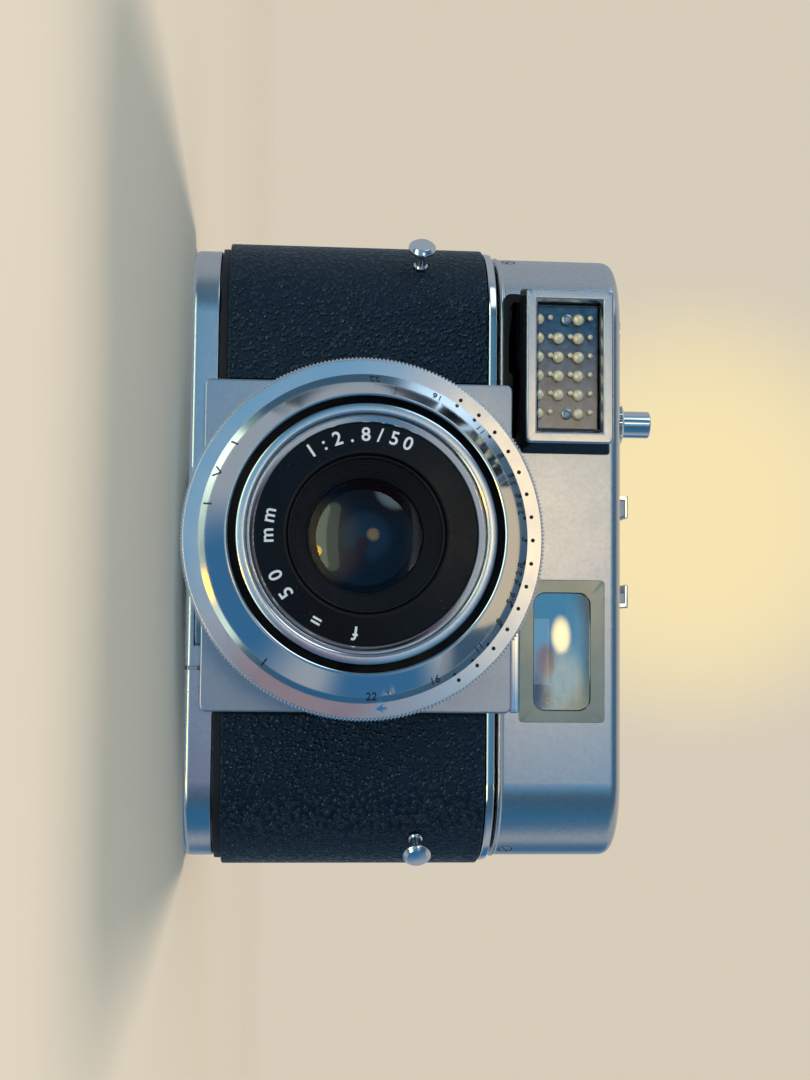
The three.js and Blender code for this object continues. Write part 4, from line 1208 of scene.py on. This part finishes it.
# The rest keep the CAD shape, with rounded edges.
FITTINGS = {
    "back_door": CHROME, "door_hinge_pin": STEEL, "pressure_plate": BLACK, "pressure_spring": STEEL,
    "takeup_spool": BLACK, "sprocket_drum": STEEL, "flap_hinge_pin": STEEL, "flap_latch_key": BRIGHT,
    "galvanometer": STEEL, "meter_needle": MATT, "meter_scale_plate": CARD, "meter_scale_window": CLEAR,
    "accessory_shoe": BRIGHT, "shoe_spring": STEEL, "rewind_fork": STEEL, "rewind_sleeve": STEEL,
    "flash_socket": BRIGHT, "rear_cell": MATT, "shutter_blades": BLUED,
}
EDGE = {"back_door": 0.3, "accessory_shoe": 0.2, "flap_latch_key": 0.25}
for fitting, look in FITTINGS.items():
    refined(fitting + "_fine", fitting, look, EDGE.get(fitting, 0.1))


# ------------------------------------------------------------------ studio
def stage_floor():
    """A pale floor that fades into the background far from the camera, and isn't seen in reflections."""
    made = Finish("floor_paint", (0.845, 0.785, 0.64), 0.7)
    made.grain(400, 3, 0.02, 0.05)
    distance = made.node("ShaderNodeVectorMath", {0: made.place}, operation="LENGTH").outputs["Value"]
    clear = made.node("ShaderNodeBsdfTransparent")
    fade = {0: made.fit(distance, 0.5, 1.6), 1: made.shader.outputs[0], 2: clear.outputs[0]}
    mixed = made.node("ShaderNodeMixShader", fade)
    made.tree.links.new(mixed.outputs[0], made.tree.nodes["Material Output"].inputs["Surface"])
    rim = [(x, y, 0) for x, y in circle((0, 0), 96)(2000)]
    floor = add_object("floor", mesh_of("floor", (rim, [tuple(range(len(rim)))])))
    floor.data.materials.append(made.material)
    floor.visible_glossy = False


stage_floor()

PAPER = (0.68, 0.61, 0.49)
# Painted light: a warm glow painted on the paper behind, not cast by a lamp.
PAINTED_WARM_GLOW = (0.93, 0.78, 0.45)
GREY_ROOM = (0.33, 0.38, 0.43)
PALE_CEILING = (0.38, 0.42, 0.46)
WARM_WALL = (0.62, 0.52, 0.38)
DARK_FRONT = (0.05, 0.12, 0.19)
DEEP_BLUE = (0.03, 0.15, 0.3)
DEEP_SEA = (0.04, 0.15, 0.3)
BLUE_FRONT = (0.11, 0.35, 0.6)
PALE_WALL = (1.5, 2.0, 2.4)
WARM_PANEL = (2.7, 2.0, 1.1)
DUSK = (0.1, 0.11, 0.2)
DARK_CORNER = (0.24, 0.12, 0.14)
DIM_WINDOW = (0.7, 0.95, 0.8)
SIDE_WINDOW = (2.0, 2.4, 1.9)
LOW_LAMP = (20, 10, 1)
# Round patches of the room, each over the ones before: direction, full and zero radius in degrees, colour.
PATCHES = [
    ((0, 0, 1), 10, 50, PALE_CEILING),
    ((0, 0.6, 0.8), 15, 40, WARM_WALL),
    ((0, -1, 0), 50, 80, DARK_FRONT),
    ((1, -0.5, -0.1), 10, 35, DEEP_BLUE),
    ((0.3, 0.6, -0.74), 15, 36, DEEP_SEA),
    ((0.78, 0.6, 0.15), 10, 22, DEEP_SEA),
    ((-0.05, -1, 0.05), 16, 27, BLUE_FRONT),
    ((-0.66, -0.6, 0.42), 9, 17, PALE_WALL),
    ((-0.09, -1, 0.17), 2, 7.2, WARM_PANEL),
    ((0.32, -1, -0.12), 7, 14, DUSK),
    ((0.06, -1, 0.0), 3, 7.5, DARK_CORNER),
    *[((0.11 * step - 0.5, -0.87, -0.48), 5.5, 8, DIM_WINDOW) for step in range(9)],
    *[((0.11 * step - 0.5, -0.77, -0.64), 5.5, 8, SIDE_WINDOW) for step in range(9)],
    ((0.16, -0.73, -0.66), 3, 5, LOW_LAMP),
]


def background():
    """Pale paper behind, with a painted pool of warm light on it to one side. In reflections, a grey room
    with the coloured patches.
    """
    world = bpy.data.worlds.new("studio")
    bpy.context.scene.world = world
    world.use_nodes = True
    tree = world.node_tree
    tree.nodes.clear()
    place = add_node(tree, "ShaderNodeTexCoord").outputs["Generated"]

    def with_patch(colour, direction, near, far, tint):
        """The colour, turned to the tint inside a soft cone round the direction."""
        dots = {0: place, 1: Vector(direction).normalized()}
        dot = add_node(tree, "ShaderNodeVectorMath", dots, operation="DOT_PRODUCT").outputs["Value"]
        low, high = math.cos(math.radians(far)), math.cos(math.radians(near))
        ends = {"Value": dot, "From Min": low, "From Max": high}
        share = add_node(tree, "ShaderNodeMapRange", ends, interpolation_type="SMOOTHSTEP").outputs[0]
        return add_mix(tree, share, colour, tint)

    colour = GREY_ROOM
    for patch in PATCHES:
        colour = with_patch(colour, *patch)
    # The paper with the painted warm glow on it.
    paper_with_painted_glow = with_patch(PAPER, (-0.09, 1, 0.27), 1, 9, PAINTED_WARM_GLOW)
    room = add_node(tree, "ShaderNodeBackground", {"Color": colour, "Strength": 1.0})
    paper = add_node(tree, "ShaderNodeBackground", {"Color": paper_with_painted_glow, "Strength": 1.0})
    camera_ray = add_node(tree, "ShaderNodeLightPath").outputs["Is Camera Ray"]
    mixed = add_node(tree, "ShaderNodeMixShader", {0: camera_ray, 1: room.outputs[0], 2: paper.outputs[0]})
    add_node(tree, "ShaderNodeOutputWorld", {0: mixed.outputs[0]})


background()


def lamp(name, kind, towards, power, colour, **settings):
    """A lamp turned so that its light comes from the direction towards. Reflections don't show it."""
    data = bpy.data.lights.new(name, kind)
    data.energy, data.color = power, colour
    for key, value in settings.items():
        setattr(data, key, value)
    holder = add_object(name, data)
    holder.rotation_mode = "QUATERNION"
    holder.rotation_quaternion = Vector(towards).to_track_quat("Z", "Y")
    holder.visible_glossy = False
    return holder


def softbox(name, place, size, power, colour):
    """An oval lamp aimed at the middle of the camera's body. Glass doesn't show it either."""
    towards = Vector(place) - Vector((0, 0, 0.04))
    holder = lamp(name, "AREA", towards, power, colour, shape="ELLIPSE", size=size[0], size_y=size[1])
    holder.location = place
    holder.visible_transmission = False


# The sun stands behind and above. It is 9 degrees wide, so that its shadow is soft.
lamp("sunlight", "SUN", (0, 0.9, 0.5), 2.9, (1.0, 0.81, 0.67), angle=math.radians(9))
softbox("key_above", (-0.1, -0.45, 0.75), (0.5, 0.4), 0.5, (1.0, 0.93, 0.82))
softbox("front_fill", (-0.15, -0.75, 0.12), (0.2, 0.2), 1.7, (0.75, 0.88, 1.0))

# The camera stands where the photograph was taken from, turned so that the object's top is at the right.
CAMERA_PLACE = (17.7, -288.0, AXIS_Z - 13.0)
CAMERA_AIM = (-1.3, -16.0, AXIS_Z + 8.55)
CAMERA_ROLL = -0.57
FOCAL = 50.8


def add_camera():
    data = bpy.data.cameras.new("camera")
    data.sensor_width, data.lens = 36, FOCAL
    data.clip_start, data.clip_end = 0.01, 20
    holder = add_object("camera", data)
    place, aim = Vector(CAMERA_PLACE) * MM, Vector(CAMERA_AIM) * MM
    ahead = (aim - place).normalized()
    up = Vector((-1, 0, 0))
    up = (up - ahead * up.dot(ahead)).normalized()
    up = Quaternion(ahead, math.radians(CAMERA_ROLL)) @ up
    turn = Matrix((ahead.cross(up), up, -ahead)).transposed()
    holder.location = place
    holder.rotation_mode = "QUATERNION"
    holder.rotation_quaternion = turn.to_quaternion()
    bpy.context.scene.camera = holder


add_camera()
bpy.context.scene.view_settings.view_transform = "Standard"
